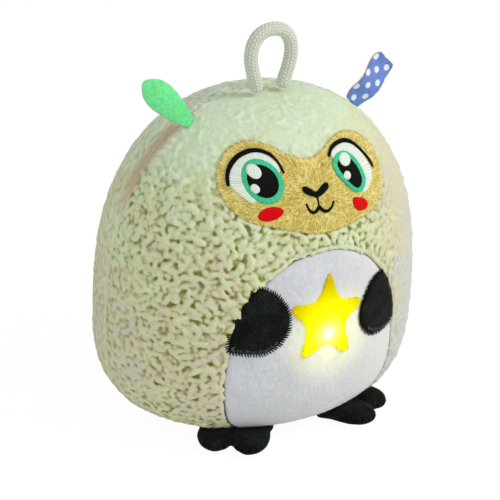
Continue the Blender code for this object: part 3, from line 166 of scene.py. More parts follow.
def edge_distance(points, outline):
    """Distance to a closed outline (more than zero inside), the nearest point on it and the way along it."""
    outline = np.asarray(outline, float)
    after = np.roll(outline, -1, axis=0)
    run = after - outline
    length = np.linalg.norm(run, axis=1)
    start = np.concatenate([[0.0], np.cumsum(length)[:-1]])
    distance = np.empty(len(points))
    nearest = np.empty((len(points), 2))
    along = np.empty(len(points))
    for low in range(0, len(points), 12000):
        part = points[low:low + 12000]
        offset = part[:, None, :] - outline[None]
        share = np.clip((offset * run).sum(2) / np.maximum(length ** 2, 1e-18), 0.0, 1.0)
        foot = outline[None] + share[..., None] * run
        gap = np.linalg.norm(part[:, None, :] - foot, axis=2)
        best = gap.argmin(1)
        rows = np.arange(len(part))
        above = (outline[None, :, 1] > part[:, None, 1]) != (after[None, :, 1] > part[:, None, 1])
        level = np.where(np.abs(run[:, 1]) < 1e-12, 1e-12, run[:, 1])
        cross = outline[:, 0] + (part[:, None, 1] - outline[:, 1]) * run[:, 0] / level
        inside = (above & (part[:, None, 0] < cross)).sum(1) % 2 == 1
        distance[low:low + 12000] = np.where(inside, 1.0, -1.0) * gap[rows, best]
        nearest[low:low + 12000] = foot[rows, best]
        along[low:low + 12000] = start[best] + share[rows, best] * length[best]
    return distance, nearest, along


def ramp_up(value, low, high):
    share = np.clip((np.asarray(value, float) - low) / (high - low), 0.0, 1.0)
    return share * share * (3.0 - 2.0 * share)


def on_face(points):
    """Places on the face patch, in millimetres from its middle, put where the tilted patch lies."""
    turn = math.radians(FACE_TILT_DEGREES)
    points = np.asarray(points, float) * MM
    x = math.cos(turn) * points[:, 0] + math.sin(turn) * points[:, 1]
    z = math.cos(turn) * points[:, 1] - math.sin(turn) * points[:, 0]
    return np.stack([x + FACE_MIDDLE[0], z + FACE_MIDDLE[1]], 1)


def soft_noise(points, size, seed=0.0):
    """Even noise from -1 to 1 whose grains are about this size."""
    shift = Vector((seed, 2.0 * seed, 3.0 * seed))
    return np.array([noise.noise(Vector(point) / size + shift) for point in points])


def open_mesh(mesh):
    """A mesh taken up for work on its faces."""
    work = bmesh.new()
    work.from_mesh(mesh)
    return work


def close_mesh(work, mesh):
    """The work put back into the mesh."""
    work.to_mesh(mesh)
    work.free()


def new_mesh(name, create, **shape):
    """A mesh from one of bmesh's create operators."""
    work = bmesh.new()
    create(work, **shape)
    mesh = bpy.data.meshes.new(name)
    close_mesh(work, mesh)
    return mesh


def modified(mesh, *steps):
    """A new mesh: this one after modifiers, each given as its kind and its settings."""
    holder = bpy.data.objects.new("holder", mesh)
    bpy.context.scene.collection.objects.link(holder)
    for kind, settings in steps:
        step = holder.modifiers.new(kind.lower(), kind)
        for key, value in settings.items():
            setattr(step, key, value)
    made = bpy.data.meshes.new_from_object(holder.evaluated_get(bpy.context.evaluated_depsgraph_get()))
    bpy.data.objects.remove(holder)
    return made


def finish_mesh(mesh, name, material, body, replaced=()):
    """The piece made of a mesh: its material, its body and the solids that it stands for."""
    mesh.shade_smooth()
    made = bpy.data.objects.new(name, mesh)
    bpy.context.scene.collection.objects.link(made)
    mesh.materials.clear()
    mesh.materials.append(material)
    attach(made, body)
    if replaced:
        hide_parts(*replaced)
    return made


def put_attribute(mesh, name, values):
    mesh.attributes.new(name, "FLOAT", "POINT").data.foreach_set("value", np.asarray(values, np.float32))


# Materials

def linear(code):
    """An sRGB hex colour as linear values."""
    values = [int(code[place:place + 2], 16) / 255.0 for place in (0, 2, 4)]
    return (*[v / 12.92 if v <= 0.04045 else ((v + 0.055) / 1.055) ** 2.4 for v in values], 1.0)


def add(tree, kind, inputs=None, stops=None, **settings):
    """A node with its settings, its input values or links, and its colour stops."""
    made = tree.nodes.new("ShaderNode" + kind)
    for key, value in settings.items():
        setattr(made, key, value)
    for key, value in (inputs or {}).items():
        if isinstance(value, bpy.types.NodeSocket):
            tree.links.new(value, made.inputs[key])
        else:
            made.inputs[key].default_value = value
    if stops:
        elements = made.color_ramp.elements
        while len(elements) < len(stops):
            elements.new(0.5)
        for element, (place, colour) in zip(elements, stops):
            element.position = place
            element.color = linear(colour) if isinstance(colour, str) else (colour, colour, colour, 1.0)
    return made


def start_material(name, **sockets):
    """A new material with constant values on its shader, its node tree and its place on the piece."""
    material = bpy.data.materials.new(name)
    material.use_nodes = True
    tree = material.node_tree
    shader = tree.nodes["Principled BSDF"]
    for key, value in sockets.items():
        shader.inputs[key.replace("_", " ")].default_value = value
    place = add(tree, "TexCoord").outputs["Object"]
    return material, tree, shader, place


def bumped(tree, shader, height, distance, strength=1.0):
    """Raises the surface by a height from 0 to 1 times this distance."""
    bump = add(tree, "Bump", {"Height": height, "Distance": distance, "Strength": strength})
    tree.links.new(bump.outputs["Normal"], shader.inputs["Normal"])


def sherpa(name, pit, low, high, knots):
    """Polyester sherpa: matt curled knots, each a little off in hue, with olive shade between them."""
    material, tree, shader, place = start_material(
        name, Roughness=1.0, Sheen_Weight=0.15, Sheen_Roughness=0.6, Specular_IOR_Level=0.10)
    pile = add(tree, "Attribute", attribute_name="pile").outputs["Fac"]
    tint_and_painted_light = add(tree, "Attribute", attribute_name="tint_and_painted_light").outputs["Fac"]
    # The curl of single fibres is about 0.7 mm wide, drawn a little coarse so that it shows
    curl = add(tree, "TexNoise", {"Vector": place, "Scale": 1.0 / (0.9 * MM), "Detail": 3.0,
                                  "Distortion": 1.4})
    patch = add(tree, "TexNoise", {"Vector": place, "Scale": 1.0 / (20.0 * MM), "Detail": 2.0})
    hue = add(tree, "Math", {0: patch.outputs["Fac"], 1: 0.8, 2: -0.40}, operation="MULTIPLY_ADD")
    hue = add(tree, "Math", {0: hue.outputs[0], 1: tint_and_painted_light}, operation="ADD")
    # Curls next to each other, about 4 mm wide, differ a little
    lock = add(tree, "TexNoise", {"Vector": place, "Scale": 1.0 / (4.0 * MM), "Detail": 1.0})
    hue = add(tree, "Math", {0: lock.outputs["Fac"], 1: 0.9, 2: hue.outputs[0]}, operation="MULTIPLY_ADD")
    hue = add(tree, "Math", {0: hue.outputs[0], 1: 0.45}, operation="SUBTRACT")
    knot = add(tree, "ValToRGB", {"Fac": hue.outputs[0]}, stops=knots)
    shifted = add(tree, "Math", {0: curl.outputs["Fac"], 1: 0.36, 2: -0.18}, operation="MULTIPLY_ADD")
    level = add(tree, "Math", {0: pile, 1: shifted.outputs[0]}, operation="ADD")
    # Painted shade: olive in the pits and creases, lighter up to white on the knots' tops
    shade = add(tree, "ValToRGB", {"Fac": level.outputs[0]},
                stops=[(0.50, pit), (0.69, low), (0.86, high), (1.0, "FFFFFF")])
    colour = add(tree, "Mix", {0: 1.0, 6: knot.outputs["Color"], 7: shade.outputs["Color"]}, data_type="RGBA",
                 blend_type="MULTIPLY")
    # A brownish tone along the side seam, from about 115 to 174 mm up
    seam = add(tree, "Attribute", attribute_name="seam").outputs["Fac"]
    backing = add(tree, "Mix", {0: seam, 6: colour.outputs[2], 7: linear("BFA384")}, data_type="RGBA")
    tree.links.new(backing.outputs[2], shader.inputs["Base Color"])
    bumped(tree, shader, curl.outputs["Fac"], 0.70 * MM, 0.9)
    return material


def plush(name, dark, mid, light, pile_size, grain, bump, sheen=0.3, stretch=(1.0, 1.0, 1.0), gloss=0.12):
    """Short knitted plush: a matt nap that lies in soft streaks, darker where the pile parts as painted
    shade.
    """
    material, tree, shader, place = start_material(
        name, Roughness=0.95, Sheen_Weight=sheen, Sheen_Roughness=0.5, Specular_IOR_Level=gloss)
    drawn = add(tree, "Mapping", {"Vector": place, "Scale": stretch})
    nap = add(tree, "TexNoise", {"Vector": drawn.outputs[0], "Scale": 1.0 / pile_size, "Detail": 4.0,
                                 "Distortion": 0.8})
    cloud = add(tree, "TexNoise", {"Vector": place, "Scale": 1.0 / grain, "Detail": 2.0})
    level = add(tree, "Math", {0: cloud.outputs["Fac"], 1: 0.7, 2: nap.outputs["Fac"]},
                operation="MULTIPLY_ADD")
    colour = add(tree, "ValToRGB", {"Fac": level.outputs[0]},
                 stops=[(0.55, dark), (0.85, mid), (1.0, light)])
    tree.links.new(colour.outputs["Color"], shader.inputs["Base Color"])
    bumped(tree, shader, nap.outputs["Fac"], bump, 0.7)
    return material, tree, shader, place, colour


def satin_thread(name, dark, light, roughness=0.42, pitch=0.55, gloss=0.35):
    """Rayon embroidery thread: smooth, with a soft shine in fine stripes along the stitches."""
    material, tree, shader, place = start_material(name, Roughness=roughness, Specular_IOR_Level=gloss)
    # Threads are 0.4 mm wide, drawn at 0.55 mm so that they show
    across = add(tree, "Attribute", attribute_name="fibre").outputs["Fac"]
    wobble = add(tree, "TexNoise", {"Vector": place, "Scale": 1.0 / (3.0 * MM), "Detail": 1.0})
    count = add(tree, "Math", {0: across, 1: 1.0 / (pitch * MM), 2: wobble.outputs["Fac"]},
                operation="MULTIPLY_ADD")
    wave = add(tree, "Math", {0: count.outputs[0], 1: 0.5}, operation="PINGPONG")
    height = add(tree, "Math", {0: wave.outputs[0], 1: 2.0}, operation="MULTIPLY")
    strand = add(tree, "TexNoise", {"Vector": add(tree, "CombineXYZ", {"X": count.outputs[0]}).outputs[0],
                                    "Scale": 0.8, "Detail": 2.0})
    level = add(tree, "Math", {0: height.outputs[0], 1: 0.55, 2: strand.outputs["Fac"]},
                operation="MULTIPLY_ADD")
    colour = add(tree, "ValToRGB", {"Fac": level.outputs[0]}, stops=[(0.35, dark), (1.0, light)])
    tree.links.new(colour.outputs["Color"], shader.inputs["Base Color"])
    bumped(tree, shader, height.outputs[0], 0.12 * MM)
    return material


def tufts(name, dark, mid, light):
    """Tufts of plush pile: matt, each a little lighter or darker than the next."""
    material, tree, shader, place = start_material(
        name, Roughness=0.95, Sheen_Weight=0.1, Specular_IOR_Level=0.1)
    tint_and_painted_light = add(tree, "Attribute", attribute_name="tint_and_painted_light").outputs["Fac"]
    fine = add(tree, "TexNoise", {"Vector": place, "Scale": 1.0 / (0.8 * MM), "Detail": 2.0})
    level = add(tree, "Math", {0: fine.outputs["Fac"], 1: 0.3, 2: tint_and_painted_light}, operation="MULTIPLY_ADD")
    colour = add(tree, "ValToRGB", {"Fac": level.outputs[0]}, stops=[(0.15, dark), (0.6, mid), (1.0, light)])
    tree.links.new(colour.outputs["Color"], shader.inputs["Base Color"])
    bumped(tree, shader, fine.outputs["Fac"], 0.1 * MM, 0.5)
    return material


def ribbon(name, dark, light, dots=None):
    """Woven grosgrain ribbon: fine ribs across its length with a low satin shine."""
    material, tree, shader, place = start_material(name, Roughness=0.48, Sheen_Weight=0.15)
    chart = add(tree, "UVMap", uv_map="cloth").outputs["UV"]
    along = add(tree, "SeparateXYZ", {"Vector": chart})
    # The ribs are 0.5 mm apart, drawn at 0.9 mm so that they show
    count = add(tree, "Math", {0: along.outputs["X"], 1: 1.0 / (0.9 * MM)}, operation="MULTIPLY")
    wave = add(tree, "Math", {0: count.outputs[0], 1: 0.5}, operation="PINGPONG")
    soft = add(tree, "TexNoise", {"Vector": place, "Scale": 1.0 / (2.2 * MM), "Detail": 2.0})
    level = add(tree, "Math", {0: wave.outputs[0], 1: 1.1, 2: soft.outputs["Fac"]}, operation="MULTIPLY_ADD")
    colour = add(tree, "ValToRGB", {"Fac": level.outputs[0]}, stops=[(0.3, dark), (1.0, light)])
    result = colour.outputs["Color"]
    if dots:
        size, pitch, white = dots
        grid = add(tree, "Mapping", {"Vector": chart, "Scale": (1.0 / pitch, 1.0 / pitch, 1.0),
                                     "Rotation": (0.0, 0.0, math.radians(45.0)),
                                     "Location": (0.35, 0.10, 0.0)})
        cell = add(tree, "VectorMath", {0: grid.outputs[0]}, operation="FRACTION")
        offset = add(tree, "VectorMath", {0: cell.outputs[0], 1: (0.5, 0.5, 0.0)}, operation="DISTANCE")
        inside = add(tree, "Math", {0: offset.outputs["Value"], 1: 0.5 * size / pitch}, operation="LESS_THAN")
        mixed = add(tree, "Mix", {0: inside.outputs[0], 6: result, 7: linear(white)}, data_type="RGBA")
        result = mixed.outputs[2]
    tree.links.new(result, shader.inputs["Base Color"])
    bumped(tree, shader, wave.outputs[0], 0.15 * MM)
    return material


def braided_rope():
    """Braided polypropylene cord: pale matt strands with shade between them."""
    material, tree, shader, place = start_material(
        "braided_rope_matt", Roughness=0.85, Sheen_Weight=0.15, Specular_IOR_Level=0.2)
    pile = add(tree, "Attribute", attribute_name="pile").outputs["Fac"]
    fuzz = add(tree, "TexNoise", {"Vector": place, "Scale": 1.0 / (0.6 * MM), "Detail": 3.0})
    level = add(tree, "Math", {0: fuzz.outputs["Fac"], 1: 0.35, 2: pile}, operation="MULTIPLY_ADD")
    colour = add(tree, "ValToRGB", {"Fac": level.outputs[0]},
                 stops=[(0.10, "9CA38E"), (0.42, "B9C0AC"), (0.95, "D0D6C8")])
    tree.links.new(colour.outputs["Color"], shader.inputs["Base Color"])
    bumped(tree, shader, fuzz.outputs["Fac"], 0.2 * MM, 0.6)
    return material


def moulded(name, code, roughness, grain=0.0, **sockets):
    """Injection moulded plastic: even colour, a fine spark-eroded grain and a soft shine."""
    material, tree, shader, place = start_material(name, Roughness=roughness, **sockets)
    shade = add(tree, "TexNoise", {"Vector": place, "Scale": 1.0 / (9.0 * MM), "Detail": 2.0})
    base = linear(code)
    darker = tuple(0.93 * c for c in base[:3]) + (1.0,)
    colour = add(tree, "Mix", {0: shade.outputs["Fac"], 6: darker, 7: base}, data_type="RGBA")
    tree.links.new(colour.outputs[2], shader.inputs["Base Color"])
    if grain:
        pits = add(tree, "TexNoise", {"Vector": place, "Scale": 1.0 / (0.35 * MM), "Detail": 2.0})
        bumped(tree, shader, pits.outputs["Fac"], grain, 0.5)
    return material


def plated(name, code, roughness):
    """Nickel plated steel: bright, with faint drawing lines that soften its reflections."""
    material, tree, shader, place = start_material(name, Metallic=1.0)
    lines = add(tree, "TexNoise", {"Vector": place, "Scale": 1.0 / (0.5 * MM), "Detail": 3.0})
    rough = add(tree, "MapRange", {"Value": lines.outputs["Fac"], "To Min": roughness,
                                   "To Max": roughness + 0.18})
    tree.links.new(rough.outputs[0], shader.inputs["Roughness"])
    shader.inputs["Base Color"].default_value = linear(code)
    bumped(tree, shader, lines.outputs["Fac"], 0.02 * MM, 0.5)
    return material


# Knot colours from the crown's green to the grey last stop, which the front's bright side mostly reaches as
# painted light
KNOTS = [(0.0, "DCEBD4"), (0.35, "D9E3BC"), (0.62, "DAD5B4"), (1.0, "D0D2D3")]
SHERPA = sherpa("cream_sherpa_fleece", "7E7036", "BAB684", "F2F4E4", KNOTS)
SHERPA_REAR = sherpa("cream_sherpa_fleece_rear", "A89E74", "CECAAA", "F2F2EA", KNOTS)
TAN = plush("golden_short_plush", "A68F3A", "CDBB5E", "E2D484", 0.9 * MM, 9.0 * MM, 0.35 * MM,
            stretch=(0.8, 1.0, 0.8))[0]
BLACK_NAP = plush("black_velour", "060807", "0D110E", "1E241F", 0.8 * MM, 9.0 * MM, 0.25 * MM, sheen=0.04,
                  gloss=0.06)[0]
BLACK_THREAD = satin_thread("black_satin_thread", "030303", "101210", 0.45, gloss=0.03)
ARM_THREAD = satin_thread("black_satin_thread_grey_shine", "0A0C0A", "5A625A", 0.40, gloss=0.15)
WHITE_THREAD = satin_thread("white_satin_thread", "B4C4B2", "E8EFE4", 0.50, pitch=0.8)
GREEN_THREAD = satin_thread("green_satin_thread", "0E7F5A", "40D69E", 0.42, pitch=0.8, gloss=0.2)
RED_THREAD = satin_thread("red_satin_thread", "A80003", "E00008", 0.50, pitch=0.8, gloss=0.08)
FRINGE_THREAD = satin_thread("golden_fringe_thread", "9C8638", "EADC94", 0.70, gloss=0.15)
STAR_THREAD = satin_thread("star_edge_thread", "B08A10", "F2DE3A", 0.60)
GREEN_RIBBON = ribbon("green_grosgrain_ribbon", "44C26C", "72EC96")
BLUE_RIBBON = ribbon("blue_dotted_grosgrain_ribbon", "3E5CA6", "6486D2", dots=(3.5 * MM, 7.0 * MM, "D8E0F0"))
PINK_RIBBON = ribbon("pink_backing_ribbon", "C79C9C", "E6C6C2")
ROPE = braided_rope()


def glowing_belly():
    """White short plush over the light: cool white, with a yellow bloom round the star."""
    material, tree, shader, place, colour = plush(
        "white_short_plush", "BEC3C7", "C9CCD0", "D2D4D9", 0.9 * MM, 22.0 * MM, 0.25 * MM,
        stretch=(1.2, 1.2, 0.3))
    parted = add(tree, "SeparateXYZ", {"Vector": place})
    # Painted light: the plush turns paler towards its brightly lit side at +X
    bright = add(tree, "MapRange", {"Value": parted.outputs["X"], "From Min": 0.004, "From Max": 0.042,
                                    "To Max": 0.75}, interpolation_type="SMOOTHSTEP")
    lit_side_painted_paler = add(tree, "Mix", {0: bright.outputs[0], 6: colour.outputs["Color"], 7: linear("DCDBD6")},
                data_type="RGBA")
    tree.links.new(lit_side_painted_paler.outputs[2], shader.inputs["Base Color"])
    flat = add(tree, "CombineXYZ", {"X": parted.outputs["X"], "Z": parted.outputs["Z"]})
    away = add(tree, "VectorMath", {0: flat.outputs[0], 1: (0.004, 0.0, 0.068)}, operation="DISTANCE")
    bloom = add(tree, "MapRange", {"Value": away.outputs["Value"], "From Min": 0.012, "From Max": 0.036,
                                   "To Min": 0.34, "To Max": 0.0}, interpolation_type="SMOOTHERSTEP")
    # Between the star's legs the light comes through at its brightest
    notch = add(tree, "VectorMath", {0: flat.outputs[0], 1: (0.0025, 0.0, 0.0590)}, operation="DISTANCE")
    wedge = add(tree, "MapRange", {"Value": notch.outputs["Value"], "From Min": 0.001, "From Max": 0.0075,
                                   "To Min": 0.40, "To Max": 0.0}, interpolation_type="SMOOTHERSTEP")
    glow = add(tree, "Math", {0: bloom.outputs[0], 1: wedge.outputs[0]}, operation="ADD")
    shader.inputs["Emission Color"].default_value = linear("E2E45C")
    tree.links.new(glow.outputs[0], shader.inputs["Emission Strength"])
    return material


def glowing_star():
    """Yellow felt lit from behind: brightest over the light, deeper yellow at its tips."""
    material, tree, shader, place = start_material(
        "glowing_yellow_felt", Roughness=0.95, Specular_IOR_Level=0.03)
    parted = add(tree, "SeparateXYZ", {"Vector": place})
    flat = add(tree, "CombineXYZ", {"X": parted.outputs["X"], "Z": parted.outputs["Z"]})
    away = add(tree, "VectorMath", {0: flat.outputs[0], 1: (0.0015, 0.0, 0.0700)}, operation="DISTANCE")
    near = add(tree, "MapRange", {"Value": away.outputs["Value"], "From Min": 0.0, "From Max": 0.030,
                                  "To Min": 0.0, "To Max": 1.0})
    felt = add(tree, "TexNoise", {"Vector": place, "Scale": 1.0 / (1.4 * MM), "Detail": 3.0})
    level = add(tree, "Math", {0: felt.outputs["Fac"], 1: 0.04, 2: near.outputs[0]}, operation="MULTIPLY_ADD")
    colour = add(tree, "ValToRGB", {"Fac": level.outputs[0]},
                 stops=[(0.06, "FFFFE0"), (0.17, "FAFA78"), (0.34, "F2F21C"), (0.55, "EEEC00"),
                        (0.98, "CCB400")])
    tree.links.new(colour.outputs["Color"], shader.inputs["Base Color"])
    tree.links.new(colour.outputs["Color"], shader.inputs["Emission Color"])
    strength = add(tree, "MapRange", {"Value": near.outputs[0], "To Min": 0.42, "To Max": 0.04})
    tree.links.new(strength.outputs[0], shader.inputs["Emission Strength"])
    bumped(tree, shader, felt.outputs["Fac"], 0.2 * MM, 0.6)
    return material


WHITE_NAP = glowing_belly()
STAR_FELT = glowing_star()


# Cloth pieces laid on the body

def drape(mesh):
    """Lays a piece drawn flat in X and Z, with its lift in Y, on the skin's front."""
    points = read_points(mesh)
    write_points(mesh, skin(points[:, 0], points[:, 2], points[:, 1]))


def snapped_grid(outline, spacing):
    """A grid over an outline whose nearest points sit on it, its places and their distances to the edge."""
    low, high = outline.min(0) - 2.0 * spacing, outline.max(0) + 2.0 * spacing
    size = high - low
    mesh = new_mesh("grid", bmesh.ops.create_grid, x_segments=max(int(size[0] / spacing), 2),
                    y_segments=max(int(size[1] / spacing), 2), size=0.5)
    flat = read_points(mesh)[:, :2] * size + 0.5 * (low + high)
    distance, nearest = edge_distance(flat, outline)[:2]
    # Points that are nearer to the outline than just over half a step move onto it
    close = np.abs(distance) < 0.56 * spacing
    flat[close] = nearest[close]
    distance[close] = 0.0
    put_attribute(mesh, "edge", distance)
    return mesh, flat, distance


def trim_outside(work):
    """Takes away the grid's faces outside its outline, and the points that they leave loose."""
    layer = work.verts.layers.float["edge"]
    gone = []
    for face in work.faces:
        edges = [vert[layer] for vert in face.verts]
        if sum(edges) <= 0.0 or min(edges) < -1e-7:
            gone.append(face)
    bmesh.ops.delete(work, geom=gone, context="FACES")
    bmesh.ops.delete(work, geom=[vert for vert in work.verts if not vert.link_faces], context="VERTS")


def flat_patch(outline, spacing, lift, thickness, crown, crown_width, relief=None):
    """A closed patch inside an outline, drawn flat: its face is crowned by this much towards its edges."""
    mesh, flat, distance = snapped_grid(np.asarray(outline, float), spacing)
    points = np.zeros((len(flat), 3))
    points[:, 0], points[:, 2] = flat[:, 0], flat[:, 1]
    rise = 1.0 - np.clip(distance / crown_width, 0.0, 1.0)
    points[:, 1] = lift + thickness - crown * (1.0 - np.sqrt(np.clip(1.0 - rise ** 2, 0.0, 1.0)))
    if relief is not None:
        points[:, 1] += relief(flat, distance)
    write_points(mesh, points)
    work = open_mesh(mesh)
    trim_outside(work)
    # The under side is one flat layer at the lift, joined all round to the upper one
    upper = list(work.faces)
    copied = bmesh.ops.duplicate(work, geom=list(work.verts) + list(work.edges) + upper)
    under = [item for item in copied["geom"] if isinstance(item, bmesh.types.BMFace)]
    for vert in {vert for face in under for vert in face.verts}:
        vert.co.y = lift
    rim = [edge for edge in work.edges if edge.is_boundary]
    bmesh.ops.bridge_loops(work, edges=rim)
    bmesh.ops.recalc_face_normals(work, faces=work.faces)
    close_mesh(work, mesh)
    return mesh


def flipped_if_needed(mesh):
    """Turns a closed mesh the right way out if it is inside out."""
    work = open_mesh(mesh)
    if work.calc_volume(signed=True) < 0.0:
        bmesh.ops.reverse_faces(work, faces=work.faces)
    close_mesh(work, mesh)


def lay_patch(name, outline, material, replaced, spacing, lift, thickness, crown, crown_width,
              fibre=None, relief=None):
    """A patch or stitched field laid on the front of the body."""
    mesh = flat_patch(outline, spacing, lift, thickness, crown, crown_width, relief)
    flat = read_points(mesh)
    if fibre is not None:
        along = edge_distance(flat[:, [0, 2]], outline)[2]
        put_attribute(mesh, "fibre", fibre(flat[:, 0], flat[:, 2], along))
    drape(mesh)
    flipped_if_needed(mesh)
    return finish_mesh(mesh, name, material, "body", replaced)


# One stitch: a rounded spindle one unit long, a few dozen faces
STITCH = new_mesh("stitch", bmesh.ops.create_uvsphere, u_segments=6, v_segments=5, radius=0.5,
                  matrix=Matrix.Rotation(0.5 * math.pi, 4, "Y"))


def copies(seed, count):
    """This many copies of a small mesh in one mesh, one after the other and all in the same place."""
    return modified(seed, ("ARRAY", {"count": count, "use_relative_offset": False}))


def lay_stitches(name, stitches, material):
    """Many stitches laid on the skin, each (x, z, turn, length, width, height, lift)."""
    x, z, turn, length, width, height, lift = np.array(stitches, float).T[:, :, None]
    unit = read_points(STITCH)
    mesh = copies(STITCH, len(stitches))
    along, across = unit[None, :, 0] * length, unit[None, :, 2] * width
    points = np.stack([x + along * np.cos(turn) - across * np.sin(turn), lift + unit[None, :, 1] * height,
                       z + along * np.sin(turn) + across * np.cos(turn)], -1)
    write_points(mesh, points.reshape(-1, 3))
    put_attribute(mesh, "fibre", np.repeat(np.arange(len(stitches)) * 0.37 * MM, len(unit)))
    drape(mesh)
    flipped_if_needed(mesh)
    return finish_mesh(mesh, name, material, "body")


def border_stitches(outline, pitch, length, width, height, lift, inward, lean=0.0, spread=0.25, keep=None):
    """Stitches that stand across an outline, with a little scatter."""
    outline = np.asarray(outline, float)
    closed = np.concatenate([outline, outline[:1]])
    run = np.linalg.norm(np.diff(closed, axis=0), axis=1)
    way = np.concatenate([[0.0], np.cumsum(run)])
    count = int(way[-1] / pitch)
    area = 0.5 * np.sum(closed[:-1, 0] * closed[1:, 1] - closed[1:, 0] * closed[:-1, 1])
    made = []
    for index in range(count):
        place = (index + random.uniform(-spread, spread)) * way[-1] / count % way[-1]
        point = np.array([np.interp(place, way, closed[:, axis]) for axis in (0, 1)])
        further = (place + 0.3 * pitch) % way[-1]
        ahead = np.array([np.interp(further, way, closed[:, axis]) for axis in (0, 1)]) - point
        size = np.linalg.norm(ahead)
        if size < 1e-9 or (keep and not keep(point)):
            continue
        ahead /= size
        inside = np.array([-ahead[1], ahead[0]]) * (1.0 if area > 0.0 else -1.0)
        stretch = length * random.uniform(0.8, 1.2)
        middle = point + inside * (inward * stretch)
        turn = math.atan2(inside[1], inside[0]) + lean + random.uniform(-0.12, 0.12)
        made.append((middle[0], middle[1], turn, stretch, width * random.uniform(0.85, 1.15), height, lift))
    return made


# Outlines on the front, as the photograph shows them

BELLY_HALF = [(0.00, 1.000), (0.24, 0.985), (0.47, 0.938), (0.65, 0.868), (0.78, 0.785), (0.92, 0.645),
              (0.97, 0.510), (1.00, 0.370), (0.98, 0.260), (0.88, 0.120), (0.66, 0.020), (0.33, 0.000),
              (0.00, 0.000)]
belly_outline = smooth_line(mirrored([(0.0525 * x, 0.005004 + 0.110988 * z) for x, z in BELLY_HALF]), 4)

FACE_OUTLINE = [
    (-46.6, 2.3), (-44.6, 7.4), (-41.2, 11.9), (-37.1, 15.5), (-32.4, 18.0), (-27.8, 19.2), (-22.7, 19.1),
    (-18.3, 18.0), (-14.1, 16.0), (-9.1, 14.2), (-3.7, 13.1), (0.6, 13.1), (5.0, 14.4), (10.8, 17.0),
    (16.6, 19.8), (22.3, 21.2), (28.5, 21.3), (35.5, 19.6), (41.6, 16.4), (45.5, 12.1), (47.5, 7.1),
    (48.1, 1.9), (47.1, -3.8), (45.0, -8.4), (41.0, -12.4), (34.8, -15.4), (26.5, -17.4), (16.6, -19.5),
    (9.6, -20.6), (2.9, -21.4), (-4.6, -21.2), (-11.7, -19.9), (-18.5, -18.7), (-25.0, -17.7),
    (-31.2, -16.9), (-36.3, -15.5), (-40.9, -12.8), (-44.4, -9.0), (-46.6, -4.0)]
face_outline = smooth_line(on_face(FACE_OUTLINE), 3)

EYES = {
    "right": {
        "white": [(-42.0, 0.3), (-41.0, 4.6), (-38.8, 8.2), (-35.8, 11.4), (-32.3, 13.2), (-28.5, 14.6),
                  (-25.1, 14.8), (-22.0, 14.0), (-19.2, 12.3), (-17.6, 10.5), (-17.2, 8.0), (-19.0, 4.0),
                  (-24.0, 0.0), (-29.0, -4.5), (-32.9, -7.0), (-35.6, -6.0), (-38.2, -4.0), (-40.5, -2.0)],
        "iris": ellipse((-26.5, 2.6), 9.8, 9.6, lean=-20.0),
        "pupil": ellipse((-26.6, 2.7), 7.4, 7.2),
        "upper": ellipse((-30.0, 6.6), 3.4, 3.1),
        "lower": ellipse((-31.0, -0.6), 2.2, 2.1),
        "lash": [(-42.4, -0.2), (-41.8, 3.8), (-39.7, 7.7), (-36.1, 11.3), (-31.9, 13.8), (-28.0, 15.1),
                 (-24.6, 15.3), (-21.3, 14.6), (-18.8, 12.9), (-17.1, 10.5), (-15.8, 7.0)],
        "cheek": [(-31.4, -12.8), (-28.8, -9.7), (-24.7, -8.2), (-20.5, -8.3), (-18.3, -10.1), (-20.7, -12.8),
                  (-25.4, -14.8), (-29.7, -14.8)]},
    "left": {
        "white": [(12.4, 13.6), (16.7, 16.2), (21.0, 17.2), (25.6, 16.9), (30.9, 14.6), (35.2, 10.4),
                  (38.2, 5.2), (38.5, 1.2), (35.9, -2.6), (31.2, -5.4), (27.0, -3.0), (22.0, 3.0),
                  (16.0, 9.0)],
        "iris": [(12.5, 10.4), (15.7, 13.5), (21.3, 14.3), (26.4, 12.0), (30.4, 7.4), (32.8, 2.0),
                 (32.5, -1.2), (29.8, -4.2), (25.3, -4.6), (20.4, -1.8), (15.2, 3.2), (12.6, 7.0)],
        "pupil": [(14.9, 9.6), (18.6, 12.0), (22.4, 11.9), (25.8, 9.2), (28.6, 5.4), (29.8, 1.2),
                  (28.6, -1.8), (25.5, -2.9), (21.6, -0.6), (17.6, 3.6), (15.2, 6.8)],
        "upper": ellipse((20.2, 10.4), 3.7, 2.9),
        "lower": ellipse((19.7, 3.7), 2.4, 2.0),
        "lash": [(11.4, 13.2), (14.0, 15.9), (18.8, 17.5), (23.9, 17.8), (28.3, 16.5), (32.3, 13.7),
                 (36.3, 9.8), (38.6, 7.0), (39.9, 4.6)],
        "cheek": [(22.2, -6.8), (25.7, -6.8), (29.6, -7.9), (31.9, -9.6), (32.5, -11.8), (29.5, -13.5),
                  (24.9, -13.0), (22.4, -10.4)]}}
NOSE = [(-7.5, 0.4), (-5.9, 1.1), (-3.2, 0.0), (-0.6, -1.5), (1.0, -0.9), (3.8, 1.2), (6.3, 2.1), (7.6, 1.2),
        (7.0, -0.6), (3.6, -3.0), (0.8, -4.1), (-1.2, -4.0), (-4.2, -3.1), (-6.9, -1.6)]
STEM = [(-0.4, -3.2), (0.5, -5.6), (0.8, -8.8)]
MOUTH = [(-6.2, -7.0), (-5.2, -9.4), (-3.1, -11.1), (-0.7, -10.2), (0.8, -8.8), (2.9, -10.4), (5.4, -10.9),
         (8.1, -9.3), (9.6, -6.8)]

